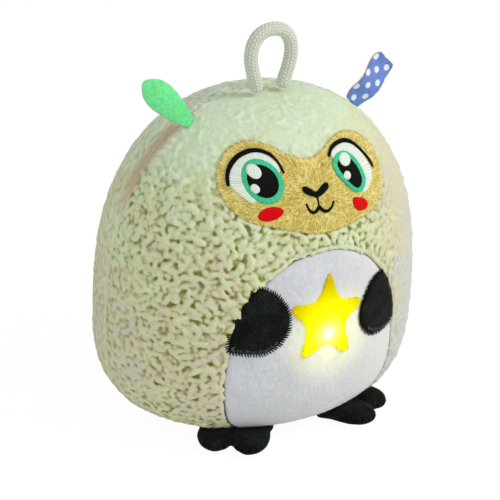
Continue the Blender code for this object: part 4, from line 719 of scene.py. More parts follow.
ARMS = {
    "right": [(-37.6, 99.9), (-31.9, 98.4), (-26.2, 93.6), (-22.5, 87.3), (-21.2, 81.0), (-22.3, 74.4),
              (-26.1, 68.4), (-31.4, 64.5), (-37.3, 63.3), (-44.1, 63.8), (-50.7, 65.2), (-50.6, 72.0),
              (-49.4, 79.0), (-47.2, 87.0), (-43.0, 95.0)],
    "left": [(36.9, 94.4), (32.0, 92.6), (28.2, 89.0), (23.6, 81.2), (22.4, 73.7), (24.7, 67.0),
             (30.3, 61.5), (38.3, 59.6), (44.2, 60.4), (49.0, 62.6), (49.3, 68.0), (47.6, 76.0),
             (44.8, 84.0), (40.8, 91.0)]}

STAR_MIDDLE = (0.0006, 0.0788)
# Reach in millimetres, direction in degrees and bluntness of the five tips, anticlockwise from the top one
STAR_TIPS = [(24.3, 87.0, 0.060), (21.9, 157.5, 0.115), (24.6, 236.5, 0.085), (26.0, 301.0, 0.105),
             (21.9, 13.0, 0.115)]
# Reach of the notch after each tip, and how many degrees it is turned from the middle between two tips
STAR_NOTCHES = [(12.6, 0.0), (12.9, 0.0), (15.6, 4.0), (13.2, 0.0), (12.6, 0.0)]


def from_star(reach, angle):
    return STAR_MIDDLE[0] + reach * math.cos(angle), STAR_MIDDLE[1] + reach * math.sin(angle)


star_tips = [from_star(reach * MM, math.radians(angle)) for reach, angle, blunt in STAR_TIPS]
star_corners = []
for index, (reach, angle, blunt) in enumerate(STAR_TIPS):
    following = STAR_TIPS[(index + 1) % len(STAR_TIPS)][1]
    deep, turned = STAR_NOTCHES[index]
    # A tip is rounded by three points
    for turn, share in ((-blunt, 0.955), (0.0, 0.99), (blunt, 0.955)):
        star_corners.append(from_star(reach * MM * share, math.radians(angle) + turn))
    between = math.radians(angle + 0.5 * ((following - angle) % 360.0) + turned)
    star_corners.append(from_star(deep * MM, between))
star_outline = smooth_line(star_corners, 3)


# Fleece: a cloth shell and a dense pile of curled knots and short locks, fused to one soft skin

def ball_to_body(ball):
    """Moves points of a unit ball to the body's skin."""
    reach = np.hypot(ball[:, 0], ball[:, 1])
    high = ball[:, 2] >= 0.0
    power = np.where(high, CROWN_POWER, BASE_POWER)
    size = (reach ** power + np.abs(ball[:, 2]) ** power) ** (-1.0 / power)
    rise = np.where(high, OVER_WIDEST, UNDER_WIDEST)
    return np.stack([HALF_WIDTH * ball[:, 0] * size, HALF_DEPTH * ball[:, 1] * size,
                     WIDEST_HEIGHT + rise * ball[:, 2] * size], 1)


def form_at(points):
    """Points against the body's form: reach from its axis, level from its widest height as a share of that
    half's height, the half's power, its height, and whether it is the upper one."""
    high = points[:, 2] >= WIDEST_HEIGHT
    tall = np.where(high, OVER_WIDEST, UNDER_WIDEST)
    return (np.hypot(points[:, 0] / HALF_WIDTH, points[:, 1] / HALF_DEPTH),
            np.abs(points[:, 2] - WIDEST_HEIGHT) / tall, np.where(high, CROWN_POWER, BASE_POWER), tall, high)


def body_normals(points):
    """The skin's outward directions at points on it."""
    reach, level, power, tall, high = form_at(points)
    flat = np.maximum(reach, 1e-6) ** (power - 2.0)
    normals = np.stack([flat * points[:, 0] / HALF_WIDTH ** 2, flat * points[:, 1] / HALF_DEPTH ** 2,
                        np.where(high, 1.0, -1.0) * level ** (power - 1.0) / tall], 1)
    return normals / np.linalg.norm(normals, axis=1, keepdims=True)


WHOLE_BALL = new_mesh("ball", bmesh.ops.create_icosphere, subdivisions=7, radius=1.0)
write_points(WHOLE_BALL, ball_to_body(read_points(WHOLE_BALL)))
KNOT = new_mesh("knot", bmesh.ops.create_icosphere, subdivisions=2, radius=1.0)
BALL_REACH = 0.9 * MM


def body_panel(back, outline, inside):
    """The skin's faces in front or behind the side seam, within an outline or round it."""
    mesh = WHOLE_BALL.copy()
    points, normals = read_points(mesh), read_normals(mesh)
    facing = points[:, 1] * (1.0 if back else -1.0) > 0.0
    rows = np.nonzero(facing)[0]
    distance, nearest = edge_distance(points[rows][:, [0, 2]], outline)[:2]
    close = np.abs(distance) < BALL_REACH * np.clip(np.abs(normals[rows, 1]), 0.3, 1.0)
    points[rows[close]] = skin(nearest[close][:, 0], nearest[close][:, 1], 0.0, 1.0 if back else -1.0)
    write_points(mesh, points)
    work = open_mesh(mesh)
    geometry = list(work.verts) + list(work.edges) + list(work.faces)
    bmesh.ops.bisect_plane(work, geom=geometry, dist=1e-6, plane_co=(0.0, 0.0, 0.0),
                           plane_no=(0.0, -1.0 if back else 1.0, 0.0), clear_outer=True)
    middles = np.array([face.calc_center_median() for face in work.faces])[:, [0, 2]]
    distance = edge_distance(middles, outline)[0]
    unwanted = distance < 0.0 if inside else distance > 0.0
    bmesh.ops.delete(work, geom=[face for face, gone in zip(work.faces, unwanted) if gone], context="FACES")
    close_mesh(work, mesh)
    return mesh


def scatter(draw, tries, apart, first, allowed):
    """Even but unruly places on the skin, at least this far apart, after the first ones."""
    ball = draw.normal(size=(tries, 3))
    points = ball_to_body(ball / np.linalg.norm(ball, axis=1, keepdims=True))
    points = np.concatenate([first, points[allowed(points)]])
    cells = np.floor(points / apart).astype(int).tolist()
    near = [(i, j, k) for i in (-1, 0, 1) for j in (-1, 0, 1) for k in (-1, 0, 1)]
    shelf = {}
    kept = []
    for row, (point, (a, b, c)) in enumerate(zip(points.tolist(), cells)):
        clear = True
        for i, j, k in near:
            for x, y, z in shelf.get((a + i, b + j, c + k), ()):
                if (x - point[0]) ** 2 + (y - point[1]) ** 2 + (z - point[2]) ** 2 < apart ** 2:
                    clear = False
                    break
            if not clear:
                break
        if clear:
            shelf.setdefault((a, b, c), []).append(point)
            kept.append(row)
    return points[kept]


def ring_places(outline, outward, pitch, front=-1.0):
    """Places on the skin along an outline, about this far outside it."""
    ring = border_stitches(outline, pitch, outward, 1.0, 1.0, 0.0, -1.0)
    return skin([one[0] for one in ring], [one[1] for one in ring], np.zeros(len(ring)), front)


def hue_at(points):
    """The pile's hue by place: creamier low down, greener at the crown, and greyer on the front's bright side
    as painted light.
    """
    return 0.62 - 0.25 * ramp_up(points[:, 2], 0.050, 0.130) - 0.32 * ramp_up(points[:, 2], 0.132, 0.168) \
        + 0.50 * ramp_up(points[:, 0], 0.012, 0.085) * (1.0 - ramp_up(points[:, 1], -0.040, 0.020))


def fused(mesh, voxel, rounds):
    """One even skin round everything in a mesh, its creases softened in this many rounds."""
    steps = [("REMESH", {"mode": "VOXEL", "voxel_size": voxel})]
    if rounds:
        steps.append(("SMOOTH", {"factor": 0.5, "iterations": rounds}))
    return modified(mesh, *steps)


def evened(mesh, values, rounds):
    """Values at a mesh's vertices, averaged with those of their neighbours this many times."""
    ends = np.empty(len(mesh.edges) * 2, np.int32)
    mesh.edges.foreach_get("vertices", ends)
    first, second = ends[0::2], ends[1::2]
    near = np.maximum(np.bincount(ends, minlength=len(values)), 1)
    for _ in range(rounds):
        total = (np.bincount(first, values[second], len(values))
                 + np.bincount(second, values[first], len(values)))
        values = 0.3 * values + 0.7 * total / near
    return values


def height_over_skin(points):
    """How far points stand out from the body's skin."""
    middle = np.array([0.0, 0.0, WIDEST_HEIGHT])
    reach, level, power = form_at(points)[:3]
    size = (reach ** power + level ** power) ** (1.0 / power)
    below = middle + (points - middle) / size[:, None]
    return ((points - below) * body_normals(below)).sum(1)


def knotted_pile(draw, seats, room, calm, locks):
    """The pile's knots as one mesh.

    room is the share of full height at each seat, calm from 0 to 1 how smooth the pile lies there, and locks
    the share of knots drawn out to bent locks."""
    count = len(seats)
    unit = read_points(KNOT)
    mesh = copies(KNOT, count)
    up = body_normals(seats)
    ahead = np.cross(up, draw.normal(size=(count, 3)))
    ahead /= np.linalg.norm(ahead, axis=1, keepdims=True)
    side = np.cross(up, ahead)
    drawn = draw.random(count) < locks
    length = np.where(drawn, draw.uniform(3.1, 4.4, count), draw.uniform(2.5, 3.4, count)) * MM
    width = np.where(drawn, draw.uniform(1.7, 2.3, count), length / MM * draw.uniform(0.78, 1.0, count)) * MM
    tall = draw.uniform(1.7, 2.2, count) * (1.0 - 0.30 * calm) * MM
    lift = (draw.normal(0.0, 0.32, count) * (1.0 - 0.5 * calm) + np.where(drawn, 0.0, -0.45)) * MM
    bend = np.where(drawn, draw.choice((-1.0, 1.0), count) * draw.uniform(0.6, 1.7, count), 0.0) * MM
    lean = draw.normal(0.0, 0.16, (count, 1))
    lump = unit[None] * (1.0 + draw.normal(0.0, 0.10, (count, len(unit), 1)))
    x, y, z = lump[..., 0], lump[..., 1], lump[..., 2]
    out = (tall * room)[:, None] * np.sign(z) * np.abs(z) ** 0.80 + (lift * room)[:, None]
    along = length[:, None] * (x + lean * z)
    across = width[:, None] * y + bend[:, None] * (x * x - 0.4)
    points = seats[:, None] + along[..., None] * ahead[:, None] + across[..., None] * side[:, None] \
        + out[..., None] * up[:, None]
    points = points.reshape(-1, 3)
    points[:, 2] = np.maximum(points[:, 2], 0.0004)
    write_points(mesh, points)
    return mesh


def fleece_panel(name, back, outline, inside, seats, room_at, calm_at, replaced, body, seed, locks, material,
                 thickness):
    """A closed panel of cloth with its pile; room_at gives its height as a share, calm_at its smoothness."""
    draw = np.random.default_rng(seed)
    mesh = body_panel(back, outline, inside)
    points, normals = read_points(mesh), read_normals(mesh)
    room, calm = room_at(points), calm_at(points)
    raised = points + normals * ((0.55 + 0.50 * calm - 1.1 * (1.0 - np.clip(room, 0.0, 1.0))) * MM)[:, None]
    raised[:, 2] = np.maximum(raised[:, 2], 0.0003)
    write_points(mesh, raised)
    # The under side of the cloth is smooth and follows the skin
    work = open_mesh(mesh)
    copied = bmesh.ops.duplicate(work, geom=work.verts[:] + work.edges[:] + work.faces[:])["geom"]
    under = [item for item in copied if isinstance(item, bmesh.types.BMVert)]
    for vert, point, normal in zip(under, points, normals):
        place = Vector(point) - Vector(normal) * thickness
        place.z = max(place.z, 0.0006)
        vert.co = place
    bmesh.ops.reverse_faces(work, faces=[item for item in copied if isinstance(item, bmesh.types.BMFace)])
    for ring in ring_groups([edge for edge in work.edges if edge.is_boundary]):
        bmesh.ops.bridge_loops(work, edges=ring)
    work.from_mesh(knotted_pile(draw, seats, np.clip(room_at(seats), 0.25, 1.0), calm_at(seats), locks))
    close_mesh(work, mesh)
    # The calmer back needs fewer faces than the front
    voxel = ((0.78 if back else 0.62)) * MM
    mesh = fused(mesh, voxel, 1)
    places = read_points(mesh)
    room, calm = np.clip(room_at(places), 0.25, 1.0), calm_at(places)
    height = height_over_skin(places) / (room * MM)
    # Painted shade: lighter on the knots, darker in the creases between them and in the deeper pits
    crease = height - evened(mesh, height, int(8.0 * (MM / voxel) ** 2))
    pile = np.clip(0.86 + 0.66 * crease + 0.10 * (height - 1.1), 0.5, 1.0)
    # Less painted shade where the pile lies calm, so the front's bright side and the crown are painted
    # lighter
    put_attribute(mesh, "pile", pile + (1.0 - pile) * 0.7 * calm)
    put_attribute(mesh, "tint_and_painted_light", hue_at(places))
    parted = 1.0 - ramp_up(np.abs(places[:, 1] - 0.001), 0.001, 0.008)
    put_attribute(mesh, "seam", 0.75 * parted * ramp_up(places[:, 2], 0.115, 0.145) * (1.0 - ramp_up(
        places[:, 2], 0.166, 0.174)))
    return finish_mesh(mesh, name, material, body, replaced)


def ring_groups(edges):
    """Rim edges in groups of two rings that lie close together."""
    rings = []
    left = set(edges)
    while left:
        stack = [left.pop()]
        ring = []
        while stack:
            edge = stack.pop()
            ring.append(edge)
            for vert in edge.verts:
                for other in vert.link_edges:
                    if other in left:
                        left.remove(other)
                        stack.append(other)
        middle = sum((edge.verts[0].co for edge in ring), Vector()) / len(ring)
        rings.append((ring, middle))
    groups = []
    while rings:
        ring, middle = rings.pop()
        best = min(range(len(rings)), key=lambda place: (rings[place][1] - middle).length)
        groups.append(ring + rings.pop(best)[0])
    return groups


flap_outline = smooth_line([
    (-0.0212, 0.0943), (0.0, 0.0945), (0.0212, 0.0943), (0.0213, 0.0600), (0.0213, 0.0290), (0.0205, 0.0242),
    (0.0160, 0.0222), (0.0, 0.0220), (-0.0160, 0.0222), (-0.0205, 0.0242), (-0.0213, 0.0290),
    (-0.0213, 0.0600)], 5)
# The opening is wider than the flap by the same gap all round
FLAP_GAP = 0.00045
FLAP_MIDDLE = 0.0583
flap_opening = np.array([
    (x * (1.0 + FLAP_GAP / 0.0213), FLAP_MIDDLE + (z - FLAP_MIDDLE) * (1.0 + FLAP_GAP / 0.0363))
    for x, z in flap_outline])


def side_seam(points):
    """How far a place is from the side seam, less where the crown's pile closes over it."""
    return np.abs(points[:, 1]) + 0.0012 * ramp_up(points[:, 2], 0.160, 0.176)


def rooted_gap(points):
    """Distance to the nearest root of an ear or of the rope, less half of what grows there."""
    gap = np.full(len(points), 1.0)
    for side in (-1.0, 1.0):
        root = np.array([side * LOOP_LEG_SPREAD, LOOP_AXIS[1], 0.1797])
        gap = np.minimum(gap, np.linalg.norm(points - root, axis=1) - 0.0050)
    for root in EAR_ROOTS.values():
        gap = np.minimum(gap, np.linalg.norm(points - np.array(root), axis=1) - 0.0041)
    return gap


def clear_of(points, outline):
    """From 0 at an outline's cut edge to 1 where the pile outside it has its full height again."""
    return ramp_up(-edge_distance(points[:, [0, 2]], outline)[0], 0.0002, 0.0030)


def seam_and_floor(points):
    """The same at the side seam, and how much height the floor leaves the pile."""
    return ramp_up(side_seam(points), 0.0004, 0.0034), 0.3 + 0.7 * ramp_up(points[:, 2], 0.002, 0.016)


def room_front(points):
    """Share of full height on the front panel: less at the cut edges, at the seam and near the floor."""
    seam, floor = seam_and_floor(points)
    return (0.35 + 0.65 * clear_of(points, belly_outline) * clear_of(points, face_outline) * seam) * floor


def calm_front(points):
    """The pile lies smoother towards the brighter side, over the crown and a little at the other side."""
    bright = 0.8 * ramp_up(points[:, 0], 0.018, 0.070)
    crown = ramp_up(points[:, 2], 0.124, 0.172)
    side = ramp_up(-points[:, 0], 0.076, 0.090)
    return np.clip(bright + 0.8 * crown + 0.35 * side, 0.0, 1.0)


def calm_back(points):
    """The pile of the back panel and of its flap lies evenly half smooth."""
    return np.full(len(points), 0.45)


def room_back(points):
    """Share of full height on the back panel, whose pile is flatter."""
    seam, floor = seam_and_floor(points)
    return 0.66 * (0.45 + 0.55 * clear_of(points, flap_opening) * seam) * floor


def room_flap(points):
    """Share of full height on the flap, less towards its own cut edge."""
    return 0.66 * (0.45 + 0.55 * ramp_up(edge_distance(points[:, [0, 2]], flap_outline)[0], 0.0002, 0.0030))


def seated(points, half, fits):
    """Which places may hold a knot: on one half, off seam, floor and roots, and where the rest fits."""
    clear = (points[:, 1] * half > 0.0) & (side_seam(points) > 0.0014) & (points[:, 2] > 0.0035)
    rows = np.nonzero(clear)[0]
    clear[rows] = fits(points[rows][:, [0, 2]]) & (rooted_gap(points[rows]) > 0.0)
    return clear


def seats_front(points):
    return seated(points, -1.0, lambda flat: (edge_distance(flat, belly_outline)[0] < -0.0015)
                  & (edge_distance(flat, face_outline)[0] < -0.0016))


def beside_flap(flat):
    """Round the opening, and off the sewn upper edge that the flap turns on."""
    hinge = (np.abs(flat[:, 0]) < 0.024) & (np.abs(flat[:, 1] - 0.0945) < 0.0030)
    return (edge_distance(flat, flap_opening)[0] < -0.0017) & ~hinge


def seats_back(points):
    return seated(points, 1.0, beside_flap)


def seats_flap(points):
    x, y, z = points.T
    clear = (y > 0.0) & (np.abs(x) < 0.020) & (z > 0.023) & (z < 0.0925)
    rows = np.nonzero(clear)[0]
    clear[rows] = edge_distance(points[rows][:, [0, 2]], flap_outline)[0] > 0.0019
    return clear


draw = np.random.default_rng(3)
ring = np.concatenate([ring_places(belly_outline, 1.75 * MM, 3.0 * MM),
                       ring_places(face_outline, 1.9 * MM, 3.1 * MM)])
seats = scatter(draw, 60000, 2.9 * MM, ring[seats_front(ring)], seats_front)
seats = scatter(draw, 90000, 2.35 * MM, seats, seats_front)
fleece_front = fleece_panel("fleece_front_sherpa", False, belly_outline, False, seats, room_front, calm_front,
                            ("fleece_front",), "body", 3, 0.40, SHERPA, FLEECE_THICKNESS)
ring = ring_places(flap_opening, 2.0 * MM, 3.2 * MM, 1.0)
seats = scatter(draw, 60000, 3.0 * MM, ring[seats_back(ring)], seats_back)
seats = scatter(draw, 80000, 2.3 * MM, seats, seats_back)
fleece_back = fleece_panel("fleece_back_sherpa", True, flap_opening, False, seats, room_back, calm_back,
                           ("fleece_back",), "body", 5, 0.35, SHERPA_REAR, FLEECE_THICKNESS)
seats = scatter(draw, 60000, 2.4 * MM, np.zeros((0, 3)), seats_flap)
flap = fleece_panel("access_flap_sherpa", True, flap_outline, True, seats, room_flap, calm_back,
                    ("access_flap",), "flap", 7, 0.35, SHERPA_REAR, 0.0026)


# Belly panel, star and arms

def nap_relief(size, amount, seed):
    """Small rise and fall of a nap, less at the cut edge."""
    def relief(flat, distance):
        points = np.stack([flat[:, 0], flat[:, 0] * 0.0, flat[:, 1]], 1)
        return soft_noise(points, size, seed) * amount * ramp_up(distance, 0.0, 0.002)
    return relief


inner_belly = smooth_line(mirrored([(0.0521 * x, 0.0054 + 0.1102 * z) for x, z in BELLY_HALF]), 4)
belly = lay_patch("belly_panel_plush", inner_belly, WHITE_NAP, ("belly_panel",),
                  0.75 * MM, -0.0028, 0.0031, 0.0014, 0.0030, relief=nap_relief(2.2 * MM, 0.28 * MM, 1.0))

star = lay_patch("star_patch_felt", star_outline, STAR_FELT, ("star_patch",),
                 0.45 * MM, -0.0002, 0.0016, 0.0008, 0.0016, relief=nap_relief(1.4 * MM, 0.08 * MM, 2.0))
lay_stitches("star_edge_stitches", border_stitches(
    star_outline, 1.5 * MM, 2.4 * MM, 0.55 * MM, 0.5 * MM, 0.0011, 0.32,
    keep=lambda point: min(math.dist(point, tip) for tip in star_tips) < 0.0085), STAR_THREAD)

for side in ("right", "left"):
    outline = smooth_line(np.array(ARMS[side]) * MM, 4)
    arm = lay_patch("arm_%s_velour" % side, outline, BLACK_NAP, ("arm_" + side,),
                    0.60 * MM, -0.0002, 0.0017, 0.0011, 0.0020, relief=nap_relief(1.6 * MM, 0.12 * MM, 3.0))
    stitches = border_stitches(outline, 1.35 * MM, 3.9 * MM, 0.85 * MM, 0.6 * MM, 0.0008, 0.02, lean=0.35,
                               spread=0.12)
    lay_stitches("arm_%s_edge_stitches" % side, stitches, BLACK_THREAD)
    low = outline[:, 1].min()
    shine = border_stitches(outline, 1.15 * MM, 1.7 * MM, 0.50 * MM, 0.5 * MM, 0.0016, 1.15, lean=0.3,
                            keep=lambda point: point[1] < low + 0.0050)
    lay_stitches("arm_%s_satin_stitches" % side, shine, ARM_THREAD)


# Face patch and its embroidery

face = lay_patch("face_patch_plush", face_outline, TAN, ("face_patch",),
                 0.60 * MM, 0.0003, 0.0015, 0.0009, 0.0022, relief=nap_relief(1.8 * MM, 0.10 * MM, 4.0))
lay_stitches("face_edge_stitches", border_stitches(
    face_outline, 1.25 * MM, 3.0 * MM, 0.70 * MM, 0.70 * MM, 0.0014, 0.36, lean=0.25), FRINGE_THREAD)


def nap_strokes(name, draw, outline, tries, apart, direction, sizes, lift, material, inset):
    """Single tufts of a nap inside an outline, each lying the way the pile is brushed."""
    low, high = outline.min(0), outline.max(0)
    flat = low + draw.random((tries, 2)) * (high - low)
    flat = flat[edge_distance(flat, outline)[0] > inset]
    cells = np.unique(np.floor(flat / apart).astype(int), axis=0, return_index=True)[1]
    flat = flat[np.sort(cells)]
    turn = direction(flat) + draw.normal(0.0, 0.35, len(flat))
    length, width, height = (size * draw.uniform(0.75, 1.25, len(flat)) for size in sizes)
    stitches = np.column_stack([flat, turn, length, width, height, np.full(len(flat), lift)])
    made = lay_stitches(name, stitches, material)
    # Painted shade: the tufts darken towards the patch's edge
    near = np.clip(edge_distance(flat, outline)[0] / 0.004, 0.0, 1.0)
    tint_and_painted_light = draw.random(len(flat)) * (0.55 + 0.45 * near)
    put_attribute(made.data, "tint_and_painted_light", np.repeat(tint_and_painted_light, len(STITCH.vertices)))


nose_place = on_face([(0.0, -1.0)])[0]
FACE_NAP = tufts("golden_plush_tufts", "A08A34", "D0BE60", "EDE2A0")
nap_strokes("face_patch_tufts", np.random.default_rng(21), face_outline, 26000, 0.85 * MM,
            lambda flat: np.arctan2(flat[:, 1] - nose_place[1], flat[:, 0] - nose_place[0]),
            (2.0 * MM, 0.32 * MM, 0.36 * MM), 0.0018, FACE_NAP, 0.0022)

FACE_TOP = 0.0018
THREADS = {"white_thread": WHITE_THREAD, "green_thread": GREEN_THREAD, "black_thread": BLACK_THREAD,
           "red_thread": RED_THREAD}


def stitched(node, points, slot, rise, fibre, smooth_steps=3, spacing=0.32 * MM, crown=0.0005,
             crown_width=0.0012, thickness=0.0007):
    """A field of satin stitches in place of a solid; fibre tells how far across its threads a place lies."""
    lay_patch(node + "_satin", smooth_line(on_face(points), smooth_steps), THREADS[slot], (node,),
              spacing, FACE_TOP + rise, thickness, crown, crown_width, fibre=fibre)


def lengthwise(x, z, along):
    return along


for side, sign in (("right", -1.0), ("left", 1.0)):
    eye = EYES[side]
    middle = on_face([np.mean(np.asarray(eye["iris"], float), 0)])[0]

    def round_eye(x, z, along, middle=middle):
        return np.arctan2(z - middle[1], x - middle[0]) * 0.0115

    def slanted(x, z, along, sign=sign):
        return x * 0.96 + sign * z * 0.28

    stitched("eye_white_" + side, eye["white"], "white_thread", 0.0, round_eye)
    stitched("iris_" + side, eye["iris"], "green_thread", 0.0003, round_eye, smooth_steps=2)
    stitched("pupil_" + side, eye["pupil"], "black_thread", 0.0006, slanted, smooth_steps=2)
    for place in ("upper", "lower"):
        stitched("highlight_%s_%s" % (place, side), eye[place], "white_thread", 0.0010, slanted,
                 smooth_steps=1, crown_width=0.0009)
    lash = band(smooth_line(eye["lash"], 3, closed=False), (1.5, 1.7, 1.6, 1.4, 1.1))
    stitched("lash_" + side, lash, "black_thread", 0.0006, lengthwise, smooth_steps=1, crown_width=0.0008)
    stitched("cheek_" + side, eye["cheek"], "red_thread", 0.0, slanted)


def upright(x, z, along):
    return x + 0.2 * z


stitched("nose", NOSE, "black_thread", 0.0002, upright, crown_width=0.0010, crown=0.0007, thickness=0.0010)
stem = band(smooth_line(STEM, 4, closed=False), (1.1, 0.9, 0.8))
lay_patch("nose_stem_thread", smooth_line(on_face(stem), 1), BLACK_THREAD, (), 0.25 * MM,
          FACE_TOP + 0.0001, 0.0006, 0.0004, 0.0004, fibre=lambda x, z, along: x)
mouth = band(smooth_line(MOUTH, 4, closed=False), (1.0, 1.5, 1.9, 1.5, 1.0))
stitched("mouth", mouth, "black_thread", 0.0001, lengthwise, smooth_steps=1, spacing=0.25 * MM,
         crown_width=0.0006)


# Feet: two stuffed velour pads, each with a cleft

FOOT_HALF = [(0.00, 0.86), (0.30, 0.97), (0.62, 1.00), (0.86, 0.86), (0.98, 0.60), (0.99, 0.36), (0.90, 0.14),
             (0.84, 0.00)]
foot_shares = FOOT_HALF + [(x, -z) for x, z in reversed(FOOT_HALF[:-1])]


def stuffed_foot(side, sign):
    """A pad from a flat grid: its outline from the shares, its crown from the distance to the edge."""
    outline = smooth_line([(x * FOOT_LENGTH, z * FOOT_HALF_WIDTH) for x, z in foot_shares], 4)
    mesh, flat, distance = snapped_grid(outline, 0.55 * MM)
    cleft = np.abs(flat[:, 1]) + 0.0022 * np.clip((0.020 - flat[:, 0]) / 0.010, 0.0, 1.0)
    crease = 1.0 - 0.55 * (1.0 - ramp_up(cleft, 0.0, 0.0032)) * ramp_up(flat[:, 0], 0.014, 0.024)
    crown = 0.0050 * (1.0 - (1.0 - np.clip(distance / 0.0075, 0.0, 1.0)) ** 2) ** 0.5 * crease
    nap = soft_noise(np.column_stack([flat, flat[:, 0] * 0.0]), 1.8 * MM, 7.0) * 0.10 * MM
    write_points(mesh, np.column_stack([flat, crown + nap * ramp_up(distance, 0.0, 0.002)]))
    work = open_mesh(mesh)
    trim_outside(work)
    copied = bmesh.ops.duplicate(work, geom=work.verts[:] + work.edges[:] + work.faces[:])["geom"]
    for vert in [item for item in copied if isinstance(item, bmesh.types.BMVert)]:
        vert.co.z = -0.92 * vert.co.z
    bmesh.ops.reverse_faces(work, faces=[item for item in copied if isinstance(item, bmesh.types.BMFace)])
    bmesh.ops.remove_doubles(work, verts=work.verts, dist=0.00002)
    turn = math.radians(FOOT_TURN_DEGREES)
    outward = Vector((sign * math.sin(turn), -math.cos(turn), 0.0))
    across = outward.cross(Vector((0.0, 0.0, 1.0)))
    place = Matrix((outward, -across, Vector((0.0, 0.0, 1.0)))).transposed().to_4x4()
    bmesh.ops.transform(work, matrix=Matrix.Translation((sign * FOOT_ROOT[0], -FOOT_ROOT[1], 0.0053)) @ place,
                        verts=work.verts)
    close_mesh(work, mesh)
    # What would lie inside the body is pressed flat against its skin
    points = read_points(mesh)
    reach = form_at(points)[0]
    wanted = share_at(np.maximum(points[:, 2], 0.0005)) + 0.0007 / 0.06
    push = np.where(reach < wanted, wanted / np.maximum(reach, 1e-6), 1.0)
    points[:, 0] *= push
    points[:, 1] *= push
    write_points(mesh, points)
    flipped_if_needed(mesh)
    made = finish_mesh(mesh, "foot_%s_velour" % side, BLACK_NAP, side + "_foot",
                       ("foot_" + side,))


for side, sign in (("right", -1.0), ("left", 1.0)):
    stuffed_foot(side, sign)


# Ears: ribbon leaves, two to an ear, back to back

PETAL = [(0.00, 0.34), (0.12, 0.54), (0.30, 0.77), (0.50, 0.94), (0.68, 1.00), (0.84, 0.84), (0.95, 0.46),
         (1.00, 0.12)]
STRIP = [(0.00, 0.60), (0.10, 0.80), (0.30, 0.97), (0.55, 1.00), (0.80, 0.98), (0.94, 0.90), (1.00, 0.70)]


def ear_leaf(kind, side, length, width, shares, offset, curve, material):
    """A leaf from a grid: its width from the shares, gently bowed and pinched at its root."""
    node = "ear_%s_%s" % (kind, side)
    sign = 1.0 if side == "left" else -1.0
    mesh = new_mesh(node, bmesh.ops.create_grid, x_segments=64, y_segments=24, size=0.5)
    grid = read_points(mesh)
    u, v = grid[:, 0] + 0.5, grid[:, 1] * 2.0
    line = smooth_line(shares, 6, closed=False)
    half = 0.5 * width * np.interp(u, line[:, 0], line[:, 1])
    along, across = u * length, v * half
    write_points(mesh, np.stack([along, across, curve(u, v) + offset], 1))
    chart = mesh.uv_layers.new(name="cloth")
    corner = np.empty(len(mesh.loops), int)
    mesh.loops.foreach_get("vertex_index", corner)
    chart.data.foreach_set("uv", np.stack([along, across], 1)[corner].ravel())
    work = open_mesh(mesh)
    bmesh.ops.solidify(work, geom=work.faces[:], thickness=0.0005)
    lean = math.radians(EAR_TILT_DEGREES)
    ahead, front = Vector((sign * math.sin(lean), 0.0, math.cos(lean))), Vector((0.0, -1.0, 0.0))
    place = Matrix((ahead, front.cross(ahead), front)).transposed().to_4x4()
    bmesh.ops.transform(work, matrix=Matrix.Translation(EAR_ROOTS[side]) @ place, verts=work.verts)
    bmesh.ops.recalc_face_normals(work, faces=work.faces)
    close_mesh(work, mesh)
    flipped_if_needed(mesh)
    made = finish_mesh(mesh, node + "_leaf", material, side + "_ear", (node,))


def petal_curve(u, v):
    """The green leaf is a shallow boat that is pinched to a fold at its root."""
    return 0.0026 * np.sin(math.pi * np.clip(u, 0.0, 1.0)) - 0.0016 * v * v * np.sin(math.pi * u) \
        + 0.0010 * v * (1.0 - u) ** 2


def strip_curve(u, v):
    """The blue leaf rolls over in a wave towards its free end."""
    return 0.0022 * np.sin(2.0 * math.pi * (u - 0.15)) * ramp_up(u, 0.0, 0.35) + 0.0006 * v * np.sin(5.0 * u)


ear_leaf("ribbon", "right", 0.0390, 0.0150, PETAL, 0.0004, petal_curve, GREEN_RIBBON)
ear_leaf("backing", "right", 0.0387, 0.0154, PETAL, -0.0004, petal_curve, PINK_RIBBON)
ear_leaf("ribbon", "left", 0.0312, 0.0150, STRIP, 0.0004, strip_curve, BLUE_RIBBON)
ear_leaf("backing", "left", 0.0310, 0.0154, STRIP, -0.0004, strip_curve, PINK_RIBBON)


# Hanging loop: a braided rope

LOOP_SHARES = [(0.71, 0.15), (0.88, 0.34), (1.00, 0.58), (0.90, 0.80), (0.55, 0.95)]
LOOP_RISE = 0.0338
LOOP_HALF_SPAN = 0.0122
half_route = [(LOOP_LEG_SPREAD, 0.0)] + [(x * LOOP_HALF_SPAN, z * LOOP_RISE) for x, z in LOOP_SHARES]
route = [(-x, z) for x, z in half_route] + [(0.0, LOOP_RISE)] + half_route[::-1]
route = smooth_line(route, 12, closed=False)
rope_path = np.stack([route[:, 0], route[:, 0] * 0.0 + LOOP_AXIS[1], LOOP_AXIS[2] + route[:, 1]], 1)


